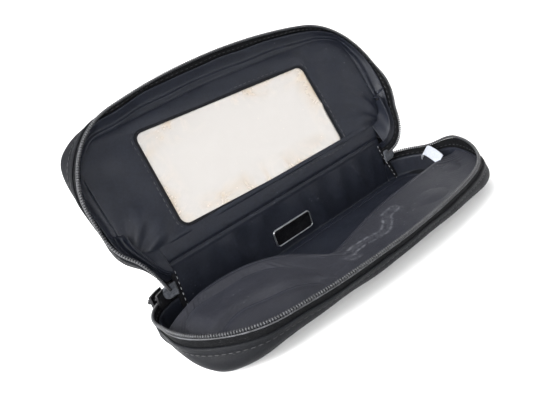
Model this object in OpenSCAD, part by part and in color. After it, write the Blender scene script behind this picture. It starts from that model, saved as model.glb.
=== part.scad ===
// Zip-round makeup bag: a shallow nylon tray with a slip pocket, and a mirrored lid that folds
// back about a padded spine. The lid is drawn standing open.
// Millimetres. X runs along the spine, -Y is the front, +Z is up. The origin is the middle of
// the underside.

/* [Overall size] */
// Width across the zip rim
rim_w = 182; // [160:1:220]
// Depth from the spine's outer face to the middle of the zip rim's front
rim_d = 76; // [74:1:92]
// Radius of the two front corners of the zip rim
rim_corner_r = 42; // [30:1:46]
// Radius of the zip rim's long front edge, which bows out
rim_front_r = 300; // [220:10:600]
// Radius of the zip rim's two rear corners, whose middles lie at the spine's ends
rear_r = 21; // [18:0.2:26]
// Height of the base, from its underside to the zip line
base_h = 18; // [17:0.5:30]
// Height of the lid, from the zip line to its top
lid_h = 13; // [12:0.5:20]

/* [Flat panels] */
// How far the zip rim stands out past the flat bottom and top panels at each side
side_flare = 3; // [2:0.5:6]
// How far it stands out past them at the front
front_flare = 7; // [5:0.5:9]
// Radius of the front corners of the flat panels
panel_corner_r = 16; // [10:1:24]
// Radius of the flat panels' long front edge
panel_front_r = 900; // [600:50:2000]
// How far the walls belly out between panel and rim, as a share of their slope
wall_belly = 0.12; // [0:0.01:0.2]

/* [Cloth and padding] */
// Thickness of the outer nylon
outer_t = 0.6; // [0.4:0.1:1]
// Thickness of the foam padding in the walls and the spine
foam_t = 1.4; // [1:0.1:2]
// Thickness of the satin lining
lining_t = 0.4; // [0.3:0.1:0.6]
// Thickness of the stiffener board in the bottom
board_t = 1.5; // [0.8:0.1:2]
// Thickness of the stiffener board in the lid
lid_board_t = 0.8; // [0.6:0.1:1.6]
// Gap left between one layer and the next
ply_gap = 0.05; // [0.03:0.01:0.1]

/* [Zip] */
// Thickness of the zip tape
tape_t = 0.5; // [0.4:0.1:0.6]
// Height of tape that shows between the cloth and the coil
tape_show = 3.6; // [3:0.2:5]
// Height of tape that is sewn in behind the cloth
tape_seam = 3; // [2:0.5:4]
// Thickness of the coil, across the wall
coil_w = 1.5; // [1.2:0.1:2]
// Height of one row of the coil
coil_h = 1.4; // [1.2:0.1:2]
// Gap between the two rows of coil when the bag is shut
coil_gap = 0.4; // [0.3:0.1:0.8]
// Steps of the rear corners where the lid's wall is loose cloth and isn't drawn
soft_steps = 5; // [5:1:6]

/* [Lid hinge and mirror] */
// Angle that the lid stands open, from shut
open_deg = 112; // [60:1:150]
// Clearance between the lid's rigid rear edge and the spine
hinge_gap = 0.4; // [0.3:0.1:1]
// Width of the mirror's window
mirror_w = 107; // [80:1:120]
// Height of the mirror's window
mirror_h = 49; // [30:1:49]
// Distance from the hinge line to the middle of the mirror
mirror_y = 31.5; // [31.5:0.5:36]
// Corner radius of the mirror's window
mirror_r = 4.5; // [3:0.5:8]
// How far the glass and card reach past the window
mirror_lap = 3; // [2:0.5:4]
// Thickness of the mirror
mirror_t = 1.1; // [0.8:0.1:1.6]
// Thickness of the card behind the mirror
card_t = 0.6; // [0.4:0.1:1]
// Width of the binding round the window
window_rim = 1.6; // [1.2:0.1:2.4]
// Height of the binding above the lining
window_rise = 0.6; // [0.4:0.1:1]

/* [Pocket and label] */
// Distance from the spine's outer face to the pocket's free edge
pocket_mouth = 30; // [24:1:40]
// Depth of the pocket's panel below the zip line
pocket_drop = 6; // [5:0.5:8]
// Thickness of the doubled pocket cloth
pocket_t = 0.8; // [0.6:0.1:1]
// Width of the hem along the pocket's free edge
hem_w = 1.6; // [1.2:0.1:3]
// Thickness of that hem
hem_t = 1.4; // [1.2:0.1:2]
// Length of the care label
label_l = 14; // [8:1:16]
// Width of the care label
label_w = 8; // [6:1:10]
// Thickness of the care label
label_t = 0.3; // [0.2:0.1:0.4]

/* [Spine trim] */
// Width of the binding over each end of the spine
bind_w = 3; // [2:0.5:4]
// Thickness of that binding
bind_t = 0.6; // [0.4:0.1:1]
// Length of the tab over each end of the zip
tab_l = 7.5; // [6:0.5:7.5]
// Clearance between the lining and the trim sewn on it
trim_gap = 0.25; // [0.2:0.05:0.4]
// Height of that tab
tab_h = 6.5; // [5:0.5:8]
// Thickness of that tab
tab_t = 1; // [0.8:0.1:1.2]
// Width of the nameplate
plate_w = 24; // [18:1:30]
// Height of the nameplate
plate_h = 10; // [8:0.5:12]
// Thickness of the nameplate
plate_t = 1.2; // [1:0.1:1.6]
// Corner radius of the nameplate
plate_r = 2; // [1:0.5:3]
// Height of the nameplate's middle above the underside
plate_z = 10; // [9:0.5:12]
// Width of the bright rim round the enamel
plate_rim = 0.6; // [0.4:0.1:1]
// Depth of the enamel
enamel_t = 0.4; // [0.3:0.1:0.5]
// Distance between the nameplate's two prongs
prong_pitch = 14; // [10:1:16]
// Thickness of the washer behind the lining
washer_t = 0.3; // [0.2:0.05:0.4]
// Depth of the hollow in the foam that takes the washer and the prongs' tips
washer_hollow = 0.8; // [0.6:0.1:1]

/* [Slider] */
// Place of the parked slider round the rear left corner, from the wall's straight side
slider_deg = 62; // [60:1:63]
// How far the slider reaches round the corner on each side of its middle
slider_half_deg = 11; // [9:0.5:11]
// Clearance between the slider and the coil
slider_gap = 0.4; // [0.3:0.05:0.6]
// Thickness of the slider's two plates
slider_t = 0.9; // [0.7:0.1:1]
// Height of the slider's plates on each side of the zip line
slider_half_h = 3.6; // [3:0.1:4]
// Radius of the post that joins the two plates
post_r = 0.8; // [0.6:0.1:1]
// Radius of the rod in the slider's loop
rod_r = 0.6; // [0.5:0.05:0.8]
// Length of that rod between its two legs
rod_l = 4.6; // [4:0.2:5]
// Distance from the slider's face to the middle of the rod
rod_stand = 1.9; // [1.8:0.1:2.4]
// Radial clearance of the pull on the rod
pull_gap = 0.12; // [0.08:0.02:0.2]
// Wall of the pull's eye
eye_wall = 0.6; // [0.5:0.05:0.8]
// Length of the pull, from the rod to its tip
pull_l = 15; // [10:1:16]
// Width of the pull
pull_w = 4; // [3:0.2:4]
// Thickness of the pull
pull_t = 0.9; // [0.7:0.1:1.2]

/* [Hidden] */

// Steps along one half of an outline: rear corner, side, front corner, half of the front
rear_steps = 7;
side_steps = 2;
corner_steps = 8;
front_steps = 6;
last_step = rear_steps + side_steps + corner_steps + front_steps;
// Levels up a wall
wall_levels = 6;

// Width and depth of the flat panels, and the length of the spine between its two bound edges
panel_w = rim_w - 2 * side_flare;
panel_d = rim_d - front_flare;
spine_w = rim_w - 2 * rear_r;

// The spine's outer face, and the lid's top, where the lid's hinge line lies
spine_y = panel_d / 2;
top_z = base_h + lid_h;

// Insets of the layers from the outer face
foam_in = outer_t + ply_gap;
lining_in = foam_in + foam_t + ply_gap;
room_in = lining_in + lining_t;
tape_in = foam_in;
tape_mid = tape_in + tape_t / 2;

// Heights of the layers of the base, from its underside
board_z = outer_t + ply_gap;
floor_z = board_z + board_t + ply_gap;
room_z = floor_z + lining_t;

// Depths of the layers of the lid, from its top
lid_pad_z = board_z + lid_board_t + ply_gap;
lid_pad_t = card_t + mirror_t + 2 * ply_gap;
lid_lining_z = lid_pad_z + lid_pad_t + ply_gap;
lid_room_z = lid_lining_z + lining_t;
hinge_in = room_in + hinge_gap;

// Heights of the zip, down from the zip line
coil_top = coil_gap / 2;
tape_top = coil_top + coil_h;
cloth_top = tape_top + tape_show;
tape_end = cloth_top + tape_seam;

// The face of the spine's trim
trim_in = room_in + trim_gap;
tab_in = trim_in + bind_t + 0.15;

// Radii of the slider's plates about the rear corner's middle
track_r = rear_r - tape_mid;
plate_off = coil_w / 2 + slider_gap;
rod_r0 = track_r + plate_off + slider_t + rod_stand;

// One half of a rounded outline, from the spine's end round to the middle of the front.
// It is three arcs and a straight side: the rear corner about a point level with the spine's
// end, the front corner of radius r, and the long front edge of radius front_r, which meets the
// corner in a common tangent at the angle turn from the middle.
function half_outline(w, d, r, front_r, inset) =
    let (
        rear = (w - spine_w) / 2,
        rear_y = spine_y - rear,
        corner_x = w / 2 - r,
        turn = asin(corner_x / (front_r - r)),
        front_y = spine_y - d + front_r,
        corner_y = front_y - (front_r - r) * cos(turn)
    )
    concat(
        [for (i = [0 : rear_steps]) let (a = 90 * (1 - i / rear_steps))
            [spine_w / 2 + (rear - inset) * cos(a), rear_y + (rear - inset) * sin(a)]],
        [for (i = [1 : side_steps]) [w / 2 - inset, rear_y + (corner_y - rear_y) * i / side_steps]],
        [for (i = [1 : corner_steps]) let (a = (turn - 90) * i / corner_steps)
            [corner_x + (r - inset) * cos(a), corner_y + (r - inset) * sin(a)]],
        [for (i = [1 : front_steps]) let (a = turn * (1 - i / front_steps))
            [(front_r - inset) * sin(a), front_y - (front_r - inset) * cos(a)]]
    );

// The same half with its mirror image: from the right end of the spine to the left one
function whole(half) = concat(half, [for (i = [len(half) - 2 : -1 : 0]) [-half[i].x, half[i].y]]);

// The wall's outline at a share of its height, from the panel (0) to the rim (1)
function wall_outline(share, inset) =
    let (
        low = whole(half_outline(panel_w, panel_d, panel_corner_r, panel_front_r, inset)),
        high = whole(half_outline(rim_w, rim_d, rim_corner_r, rim_front_r, inset)),
        s = share + wall_belly * sin(180 * share)
    )
    [for (i = [0 : len(low) - 1]) low[i] + (high[i] - low[i]) * s];

// A row of points on the base's wall at height z, and on the lid's wall at depth z below its top
function base_row(z, inset) = [for (p = wall_outline(z / base_h, inset)) [p.x, p.y, z]];
function lid_row(z, inset) =
    let (row = wall_outline(z / lid_h, inset))
    [for (i = [soft_steps : len(row) - 1 - soft_steps]) [row[i].x, row[i].y, top_z - z]];

// Faces of a closed strip between two sheets of m rows with n points each
function strip_faces(m, n) =
    let (back = m * n)
    concat(
        [for (j = [0 : m - 2], i = [0 : n - 2]) each quad(j * n + i, j * n + i + 1, j * n + n + i + 1, j * n + n + i)],
        [for (j = [0 : m - 2], i = [0 : n - 2]) let (k = back + j * n + i) each quad(k, k + n, k + n + 1, k + 1)],
        [for (i = [0 : n - 2]) each quad(i, back + i, back + i + 1, i + 1)],
        [for (i = [0 : n - 2]) let (k = (m - 1) * n + i) each quad(k, k + 1, back + k + 1, back + k)],
        [for (j = [0 : m - 2]) let (k = j * n) each quad(k, k + n, back + k + n, back + k)],
        [for (j = [0 : m - 2]) let (k = j * n + n - 1) each quad(k, back + k, back + k + n, k + n)]
    );
function quad(a, b, c, d) = [[a, b, c], [a, c, d]];

// A strip of cloth in the base's wall, between two heights and two insets
module base_strip(z0, z1, in0, in1, levels = wall_levels) {
    zs = [for (j = [0 : levels]) z0 + (z1 - z0) * j / levels];
    rows = [for (inset = [in0, in1], z = zs) base_row(z, inset)];
    polyhedron([for (row = rows) each row], strip_faces(levels + 1, len(rows[0])), convexity = 6);
}

// A strip of cloth in the lid's wall, between two depths below its top
module lid_strip(z0, z1, in0, in1, levels = wall_levels) {
    zs = [for (j = [0 : levels]) z1 + (z0 - z1) * j / levels];
    rows = [for (inset = [in0, in1], z = zs) lid_row(z, inset)];
    polyhedron([for (row = rows) each row], strip_faces(levels + 1, len(rows[0])), convexity = 6);
}

// Stands the lid open about the hinge line
module lid_pose() {
    translate([0, spine_y, top_z]) rotate([-open_deg, 0, 0]) translate([0, -spine_y, -top_z]) children();
}

// The plan that is inside the wall both at one share of its height and at another
module wall_plan(share0, share1, inset) {
    intersection() {
        polygon(wall_outline(share0, inset));
        polygon(wall_outline(share1, inset));
    }
}

// A flat layer of the base, filling the wall's outline at its own height
module base_layer(z, t, inset) {
    translate([0, 0, z]) linear_extrude(t) wall_plan(z / base_h, (z + t) / base_h, inset);
}

// A flat layer of the lid, z below its top, cut back from the spine
module lid_layer(z, t, inset) {
    translate([0, 0, top_z - z - t]) linear_extrude(t) intersection() {
        wall_plan(z / lid_h, (z + t) / lid_h, inset);
        translate([-rim_w / 2, spine_y - hinge_in - rim_d]) square([rim_w, rim_d]);
    }
}

// A rectangle with round corners, about its middle
module round_rect(w, h, r) {
    hull() for (x = [-1, 1], y = [-1, 1]) translate([x * (w / 2 - r), y * (h / 2 - r)]) circle(r, $fn = 32);
}

// The mirror's outline in the lid, grown on all sides
module mirror_outline(grow) {
    translate([0, spine_y - mirror_y]) round_rect(mirror_w + 2 * grow, mirror_h + 2 * grow, mirror_r + grow);
}

// ---- Base ----

module base_outer_bottom() {
    color("#17181c") base_layer(0, outer_t, foam_in);
}

module base_outer_gusset() {
    color("#1b1c20") base_strip(0, base_h - cloth_top, 0, outer_t);
}

module base_stiffener_board() {
    color("#3a3a3c") base_layer(board_z, board_t, lining_in + ply_gap);
}

module base_gusset_foam() {
    color("#4a4a4e") base_strip(board_z, base_h - tape_end - ply_gap, foam_in, foam_in + foam_t);
}

module base_lining_floor() {
    color("#20222a") base_layer(floor_z, lining_t, lining_in);
}

module base_lining_gusset() {
    color("#22242c") base_strip(room_z + ply_gap, base_h - cloth_top, lining_in, room_in);
}

module base_zip_tape() {
    color("#101113") base_strip(base_h - tape_end, base_h - tape_top, tape_in, tape_in + tape_t);
}

module base_zip_coil() {
    color("#2c2d31")
        base_strip(base_h - tape_top, base_h - coil_top, tape_mid - coil_w / 2, tape_mid + coil_w / 2, 1);
}

// ---- Pocket and label ----

// The part of the tray's plan in front of the pocket's mouth, clear of the wall at the hem's foot
// and at its top
module pocket_plan(from, to, inset) {
    intersection() {
        wall_plan(1 - (pocket_drop + hem_t) / base_h, 1 - pocket_drop / base_h, inset);
        translate([-rim_w / 2, spine_y - to]) square([rim_w, to - from]);
    }
}

module pocket_panel() {
    color("#3c3d46") translate([0, 0, base_h - pocket_drop - (hem_t + pocket_t) / 2])
        linear_extrude(pocket_t) pocket_plan(pocket_mouth + hem_w, 2 * rim_d, room_in + trim_gap);
}

module pocket_hem() {
    color("#33343c") translate([0, 0, base_h - pocket_drop - hem_t])
        linear_extrude(hem_t) pocket_plan(pocket_mouth, pocket_mouth + hem_w - ply_gap, room_in + trim_gap);
}

// The label hangs on the lining in the straight part of the right side, behind the pocket's mouth
module care_label() {
    foot_z = max(room_z + ply_gap, base_h - cloth_top - label_l);
    side_x = wall_outline(foot_z / base_h, room_in)[rear_steps].x;
    color("#e6e8ec") translate([side_x - trim_gap - label_t, spine_y - pocket_mouth + 1, foot_z])
        cube([label_t, label_w, base_h - cloth_top - foot_z]);
}

// ---- Spine ----

// A flat layer of the spine, inset from its outer face
module spine_layer(inset, t, z0) {
    translate([ply_gap - spine_w / 2, spine_y - inset - t, z0])
        cube([spine_w - 2 * ply_gap, t, top_z - hinge_gap - z0]);
}

// The washer's outline, grown on all sides
module washer_outline(grow) {
    round_rect(prong_pitch + 5 + 2 * grow, 5 + 2 * grow, 1 + grow);
}

// The hollow in the face of the spine's padding that takes the washer and the prongs' tips
module washer_space() {
    translate([0, spine_y - lining_in, plate_z]) rotate([90, 0, 0])
        translate([0, 0, -washer_hollow]) linear_extrude(washer_hollow + 1) washer_outline(0.3);
}

module spine_outer() {
    color("#17181c") spine_layer(0, outer_t, 0);
}

module spine_foam() {
    color("#4a4a4e") difference() {
        spine_layer(foam_in, foam_t, board_z);
        washer_space();
    }
}

module spine_lining() {
    color("#20222a") difference() {
        spine_layer(lining_in, lining_t, room_z + ply_gap);
        for (x = [-1, 1]) translate([x * prong_pitch / 2, spine_y, plate_z]) cube([2, 8, 1], center = true);
    }
}

module spine_binding(side) {
    color("#2a2b31") translate([side * spine_w / 2 - bind_w / 2, spine_y - trim_in - bind_t, room_z + trim_gap])
        cube([bind_w, bind_t, top_z - lid_room_z - hinge_gap - room_z - trim_gap]);
}
module spine_binding_left() { spine_binding(-1); }
module spine_binding_right() { spine_binding(1); }

// A folded tab over each end of the zip, square at the spine and rounded at its tip
module zip_end_tab(side) {
    color("#55575c") translate([side * (spine_w / 2 - 3), spine_y - tab_in, base_h]) rotate([90, 0, 0])
        linear_extrude(tab_t) scale([side, 1]) tab_plan();
}
module tab_plan() {
    tip_r = tab_h / 2;
    translate([0, -tab_h / 2]) square([tab_l - tip_r, tab_h]);
    translate([tab_l - tip_r, 0]) circle(tip_r, $fn = 48);
}
module zip_end_tab_left() { zip_end_tab(-1); }
module zip_end_tab_right() { zip_end_tab(1); }

// ---- Nameplate ----

module plate_pose() {
    translate([0, spine_y - trim_in, plate_z]) rotate([90, 0, 0]) children();
}

module nameplate_frame() {
    prong_reach = trim_in - lining_in + washer_hollow - 0.15;
    color("#b9bcc2") plate_pose() {
        difference() {
            linear_extrude(plate_t) round_rect(plate_w, plate_h, plate_r);
            translate([0, 0, plate_t - enamel_t]) linear_extrude(enamel_t + 1)
                round_rect(plate_w - 2 * plate_rim, plate_h - 2 * plate_rim, plate_r - plate_rim);
        }
        for (x = [-1, 1]) translate([x * prong_pitch / 2 - 0.75, -0.3, -prong_reach])
            cube([1.5, 0.6, prong_reach]);
    }
}

module nameplate_enamel() {
    fit = plate_rim + 0.02;
    color("#0b0b0d") plate_pose() translate([0, 0, plate_t - enamel_t])
        linear_extrude(enamel_t - 0.05) round_rect(plate_w - 2 * fit, plate_h - 2 * fit, plate_r - plate_rim);
}

module nameplate_washer() {
    color("#8d9096") translate([0, spine_y - lining_in, plate_z]) rotate([90, 0, 0])
        translate([0, 0, -washer_t - ply_gap]) difference() {
            linear_extrude(washer_t) washer_outline(0);
            for (x = [-1, 1]) translate([x * prong_pitch / 2, 0, 0]) cube([2, 1, 4], center = true);
        }
}

// ---- Lid ----

module lid_outer_panel() {
    color("#17181c") lid_pose() lid_layer(0, outer_t, foam_in);
}

module lid_outer_gusset() {
    color("#1b1c20") lid_pose() lid_strip(0, lid_h - cloth_top, 0, outer_t);
}

module lid_stiffener_board() {
    color("#3a3a3c") lid_pose() lid_layer(board_z, lid_board_t, lining_in + ply_gap);
}

module lid_foam_pad() {
    color("#4a4a4e") lid_pose() difference() {
        lid_layer(lid_pad_z, lid_pad_t, lining_in + ply_gap);
        translate([0, 0, top_z - lid_pad_z - lid_pad_t - 1]) linear_extrude(lid_pad_t + 2)
            mirror_outline(mirror_lap + ply_gap);
    }
}

module lid_lining_panel() {
    color("#22242c") lid_pose() difference() {
        lid_layer(lid_lining_z, lining_t, room_in + ply_gap);
        translate([0, 0, top_z - lid_room_z - 1]) linear_extrude(lining_t + 2) mirror_outline(0);
    }
}

module lid_lining_gusset() {
    color("#22242c") lid_pose() lid_strip(lid_lining_z, lid_h - cloth_top, lining_in, room_in, 2);
}

module lid_zip_tape() {
    color("#101113") lid_pose() lid_strip(lid_h - tape_end, lid_h - tape_top, tape_in, tape_in + tape_t);
}

module lid_zip_coil() {
    color("#2c2d31") lid_pose()
        lid_strip(lid_h - tape_top, lid_h - coil_top, tape_mid - coil_w / 2, tape_mid + coil_w / 2, 1);
}

// ---- Mirror ----

module mirror_card() {
    color("#8a7f6d") lid_pose() translate([0, 0, top_z - lid_pad_z - card_t])
        linear_extrude(card_t) mirror_outline(mirror_lap);
}

module mirror_glass() {
    color("#efe9df") lid_pose() translate([0, 0, top_z - lid_lining_z + ply_gap])
        linear_extrude(mirror_t) mirror_outline(mirror_lap);
}

module mirror_window_binding() {
    color("#15161a") lid_pose() translate([0, 0, top_z - lid_room_z - ply_gap - window_rise])
        linear_extrude(window_rise) difference() {
            mirror_outline(window_rim / 2);
            mirror_outline(-window_rim / 2);
        }
}

// ---- Slider ----

// Turns a shape drawn about the rear left corner's middle to the parked slider's place
module slider_pose() {
    translate([-spine_w / 2, spine_y - rear_r, base_h]) rotate([0, 0, 180 - slider_deg]) children();
}

// A plate bent round the corner, whose thickness runs from radius r0
module slider_plate(r0) {
    rotate([0, 0, -slider_half_deg]) rotate_extrude(angle = 2 * slider_half_deg, $fn = 180)
        translate([r0, -slider_half_h]) square([slider_t, 2 * slider_half_h]);
}

module slider_plate_outer() {
    color("#2b2b2e") slider_pose() slider_plate(track_r + plate_off);
}

module slider_plate_inner() {
    color("#2b2b2e") slider_pose() slider_plate(track_r - plate_off - slider_t);
}

// The post stands between the two rows of coil, at the slider's mouth
module slider_post() {
    color("#2b2b2e") slider_pose() rotate([0, 0, slider_half_deg / 2])
        translate([track_r - plate_off + 0.02, 0, post_r + coil_gap]) rotate([0, 90, 0])
            cylinder(r = post_r, h = 2 * plate_off - 0.04, $fn = 48);
}

// A rod on two legs that holds the pull
module slider_loop() {
    leg = 0.9;
    face_r = track_r + plate_off + slider_t;
    color("#2b2b2e") slider_pose() {
        translate([rod_r0, 0, 0]) rotate([90, 0, 0]) cylinder(r = rod_r, h = rod_l + leg, center = true, $fn = 48);
        for (y = [-1, 1]) translate([face_r + 0.02, y * (rod_l + leg) / 2 - leg / 2, -rod_r])
            cube([rod_stand + rod_r - 0.02, leg, 2 * rod_r]);
    }
}

// The pull hangs from its eye
module pull_tab() {
    bore_r = rod_r + pull_gap;
    eye_r = bore_r + eye_wall;
    color("#2b2b2e") slider_pose() translate([rod_r0, 0, 0]) difference() {
        union() {
            rotate([90, 0, 0]) cylinder(r = eye_r, h = pull_w, center = true, $fn = 48);
            translate([-pull_t / 2, -pull_w / 2, pull_w / 2 - pull_l]) cube([pull_t, pull_w, pull_l - pull_w / 2]);
            translate([-pull_t / 2, 0, pull_w / 2 - pull_l]) rotate([0, 90, 0]) cylinder(d = pull_w, h = pull_t, $fn = 48);
        }
        rotate([90, 0, 0]) cylinder(r = bore_r, h = pull_w + 2, center = true, $fn = 48);
    }
}

base_outer_bottom();
base_outer_gusset();
base_stiffener_board();
base_gusset_foam();
base_lining_floor();
base_lining_gusset();
base_zip_tape();
base_zip_coil();
pocket_panel();
pocket_hem();
care_label();
spine_outer();
spine_foam();
spine_lining();
spine_binding_left();
spine_binding_right();
zip_end_tab_left();
zip_end_tab_right();
nameplate_frame();
nameplate_enamel();
nameplate_washer();
lid_outer_panel();
lid_outer_gusset();
lid_stiffener_board();
lid_foam_pad();
lid_lining_panel();
lid_lining_gusset();
lid_zip_tape();
lid_zip_coil();
mirror_glass();
mirror_card();
mirror_window_binding();
slider_plate_outer();
slider_plate_inner();
slider_post();
slider_loop();
pull_tab();
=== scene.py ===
"""A zip-round makeup bag in black nylon, standing open: padded tray, padded spine and mirrored lid.

Sizes are in millimetres and become metres when a mesh is made. The bag's frame is the CAD's own:
X along the spine, -Y to the front, +Z up. The lid's pieces are worked out with the bag shut and
then turned open about the hinge.
"""
import logging
import math
from dataclasses import dataclass
from enum import Enum
from typing import Callable, Optional, Sequence

import bpy
import numpy as np
from mathutils import Matrix, Vector


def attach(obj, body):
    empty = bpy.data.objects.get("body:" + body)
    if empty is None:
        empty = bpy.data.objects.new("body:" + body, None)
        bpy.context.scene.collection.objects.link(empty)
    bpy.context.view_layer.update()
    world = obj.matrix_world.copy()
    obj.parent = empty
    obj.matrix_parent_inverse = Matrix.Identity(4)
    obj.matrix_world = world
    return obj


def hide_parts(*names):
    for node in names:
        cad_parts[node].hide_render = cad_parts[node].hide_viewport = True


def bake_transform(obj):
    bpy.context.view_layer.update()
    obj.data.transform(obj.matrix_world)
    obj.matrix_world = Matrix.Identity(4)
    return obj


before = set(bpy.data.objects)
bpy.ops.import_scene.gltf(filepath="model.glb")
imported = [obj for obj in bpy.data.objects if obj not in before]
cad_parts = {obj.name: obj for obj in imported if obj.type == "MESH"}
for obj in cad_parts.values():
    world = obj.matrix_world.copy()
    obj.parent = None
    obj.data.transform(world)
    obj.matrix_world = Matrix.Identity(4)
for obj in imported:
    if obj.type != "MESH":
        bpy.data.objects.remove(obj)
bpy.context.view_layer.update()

Array = np.ndarray
Points = Sequence[Sequence[float]]
Material = bpy.types.Material
Piece = bpy.types.Object
Socket = bpy.types.NodeSocket
MM = 0.001
log = logging.getLogger("makeup_bag")


# ---------------------------------------------------------------- meshes


def smoothstep(x: Array) -> Array:
    """Rises from 0 to 1 as x does, level at both ends: 3x^2 - 2x^3."""
    x = np.clip(x, 0.0, 1.0)
    return x * x * (3.0 - 2.0 * x)


def bump(x: Array, middle: float, width: float) -> Array:
    """A bell round middle: exp of minus the square of the distance in widths."""
    return np.exp(-(((x - middle) / width) ** 2))


def ripple(u: Array, v: Array, seed: int, size: float, amount: float, waves: int = 9) -> Array:
    """Soft random waves: a mean of cosines with random directions, lengths near size and phases.

    Args:
        u, v: distances along the cloth, in millimetres.
        seed: fixes the waves.
        size: the usual wavelength, in millimetres.
        amount: the usual height, in millimetres.
        waves: how many cosines are added.

    Returns:
        Heights in the shape of u.
    """
    rng = np.random.default_rng(seed)
    turn = rng.uniform(0, 2 * math.pi, waves)
    length = size * rng.uniform(0.6, 1.7, waves)
    phase = rng.uniform(0, 2 * math.pi, waves)
    along = u[..., None] * np.cos(turn) + v[..., None] * np.sin(turn)
    return amount * np.cos(2 * math.pi * along / length + phase).sum(axis=-1) / math.sqrt(waves / 2)


def smooth_path(points: Points, count: int) -> Array:
    """A Catmull-Rom curve through the points, sampled evenly by length.

    Args:
        points: the points that the curve passes through.
        count: how many samples to return.

    Returns:
        An array of count points.
    """
    p = np.asarray(points, float)
    p = np.vstack([2 * p[0] - p[1], p, 2 * p[-1] - p[-2]])
    t = np.linspace(0, 1, 24, endpoint=False)[:, None]
    a, b, c, d = (p[i : len(p) - 3 + i, None, :] for i in range(4))
    square, cube = 2 * a - 5 * b + 4 * c - d, 3 * b - a - 3 * c + d
    curve = 0.5 * (2 * b + (c - a) * t + square * t**2 + cube * t**3)
    dense = np.vstack([curve.reshape(-1, p.shape[1]), p[-2]])
    return even_path(dense, count)


def lengths(path: Array) -> Array:
    """Distance along a path at each of its points."""
    return np.concatenate([[0.0], np.cumsum(np.linalg.norm(np.diff(path, axis=0), axis=1))])


def sample(values: Array, run: Array, want: Array) -> Array:
    """Values known at the distances run, read off at the distances want."""
    return np.stack([np.interp(want, run, values[:, i]) for i in range(values.shape[1])], axis=1)


def even_path(path: Array, count: int) -> Array:
    """The path again, with count points at even distances along it."""
    run = lengths(path)
    return sample(path, run, np.linspace(0, run[-1], count))


def away_from(points: Array, line: Array) -> Array:
    """Each point's distance in plan from the nearest point of a line."""
    return np.sqrt(((points[..., None, :2] - line) ** 2).sum(axis=-1)).min(axis=-1)


def raised(plan: Array, height: Array) -> Array:
    """Points of a plan, given their heights."""
    return np.concatenate([plan, np.broadcast_to(height, plan.shape[:-1])[..., None]], axis=-1)


def grid_normals(grid: Array) -> Array:
    """Unit normals of a grid: its step along rows crossed with its step along columns."""
    n = np.cross(np.gradient(grid, axis=0), np.gradient(grid, axis=1))
    return n / np.maximum(np.linalg.norm(n, axis=2, keepdims=True), 1e-9)


def grid_uv(grid: Array) -> Array:
    """Distances along a grid's rows and columns in metres, so that a weave keeps its scale."""
    step_u = np.linalg.norm(np.diff(grid, axis=0), axis=2)
    step_v = np.linalg.norm(np.diff(grid, axis=1), axis=2)
    u = np.concatenate([[0.0], np.cumsum(step_u.mean(axis=1))])
    v = np.concatenate([[0.0], np.cumsum(step_v.mean(axis=0))])
    return np.stack(np.meshgrid(u, v, indexing="ij"), axis=-1) * MM


def grid_faces(rows: int, columns: int, close_rows: bool = False, close_columns: bool = False) -> Array:
    """Quads of a grid of points stored row by row.

    Args:
        rows, columns: the grid's size.
        close_rows: joins the last row to the first.
        close_columns: joins the last column to the first.

    Returns:
        An array of four point numbers a face.
    """
    i = np.arange(rows if close_rows else rows - 1)[:, None]
    j = np.arange(columns if close_columns else columns - 1)[None, :]
    i2, j2 = (i + 1) % rows, (j + 1) % columns
    quads = np.stack([i * columns + j, i2 * columns + j, i2 * columns + j2, i * columns + j2], axis=-1)
    return quads.reshape(-1, 4)


def put_mesh(
    name: str,
    points: Array,
    faces: Sequence[Sequence[int]],
    material: Material,
    uv: Array,
) -> Piece:
    """Makes an object whose place is in its mesh.

    Args:
        name: the piece's name.
        points: its points in millimetres.
        faces: point numbers of each face.
        material: its finish.
        uv: one pair for each point, in metres along the cloth.

    Returns:
        The new object.
    """
    mesh = bpy.data.meshes.new(name)
    faces = faces.tolist() if isinstance(faces, np.ndarray) else faces
    mesh.from_pydata((np.asarray(points, float).reshape(-1, 3) * MM).tolist(), [], faces)
    corners = np.zeros(len(mesh.loops), np.int32)
    mesh.loops.foreach_get("vertex_index", corners)
    layer = mesh.uv_layers.new(name="cloth")
    layer.data.foreach_set("uv", uv.reshape(-1, 2)[corners].astype(np.float32).ravel())
    mesh.polygons.foreach_set("use_smooth", np.full(len(mesh.polygons), True))
    mesh.materials.append(material)
    mesh.update()
    piece = bpy.data.objects.new(name, mesh)
    bpy.context.scene.collection.objects.link(piece)
    return piece


def cloth_piece(name: str, grid: Array, material: Material, thickness: float) -> Piece:
    """A sheet of cloth on a grid, given its thickness by Solidify about the grid's own surface.

    Args:
        name: the piece's name.
        grid: rows and columns of points in millimetres.
        material: its finish.
        thickness: in millimetres.

    Returns:
        The new object.
    """
    piece = put_mesh(name, grid, grid_faces(*grid.shape[:2]), material, grid_uv(grid))
    return thicken(piece, thickness)


def sweep(name: str, sections: Array, material: Material) -> Piece:
    """A closed solid through closed sections, with a flat cap on each end.

    Its faces point outwards where a section runs clockwise about the way from first to last.

    Args:
        name: the piece's name.
        sections: one loop of points a row, in millimetres.
        material: its finish.

    Returns:
        The new object.
    """
    rows, columns = sections.shape[:2]
    faces = grid_faces(rows, columns, close_columns=True).tolist()
    first = list(range(columns))
    last = [(rows - 1) * columns + i for i in range(columns)]
    return put_mesh(name, sections, faces + [first, last[::-1]], material, grid_uv(sections))


def path_frames(path: Array, up: Array) -> tuple[Array, Array, Array]:
    """Unit vectors along a path, out of its surface, and across it.

    Args:
        path: points along the path.
        up: the direction at each point that the third vector comes closest to.

    Returns:
        Tangents, sides and ups, each one row a point.
    """
    along = np.gradient(path, axis=0)
    along /= np.linalg.norm(along, axis=1, keepdims=True)
    side = np.cross(along, up)
    side /= np.maximum(np.linalg.norm(side, axis=1, keepdims=True), 1e-9)
    return along, side, np.cross(side, along)


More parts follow.
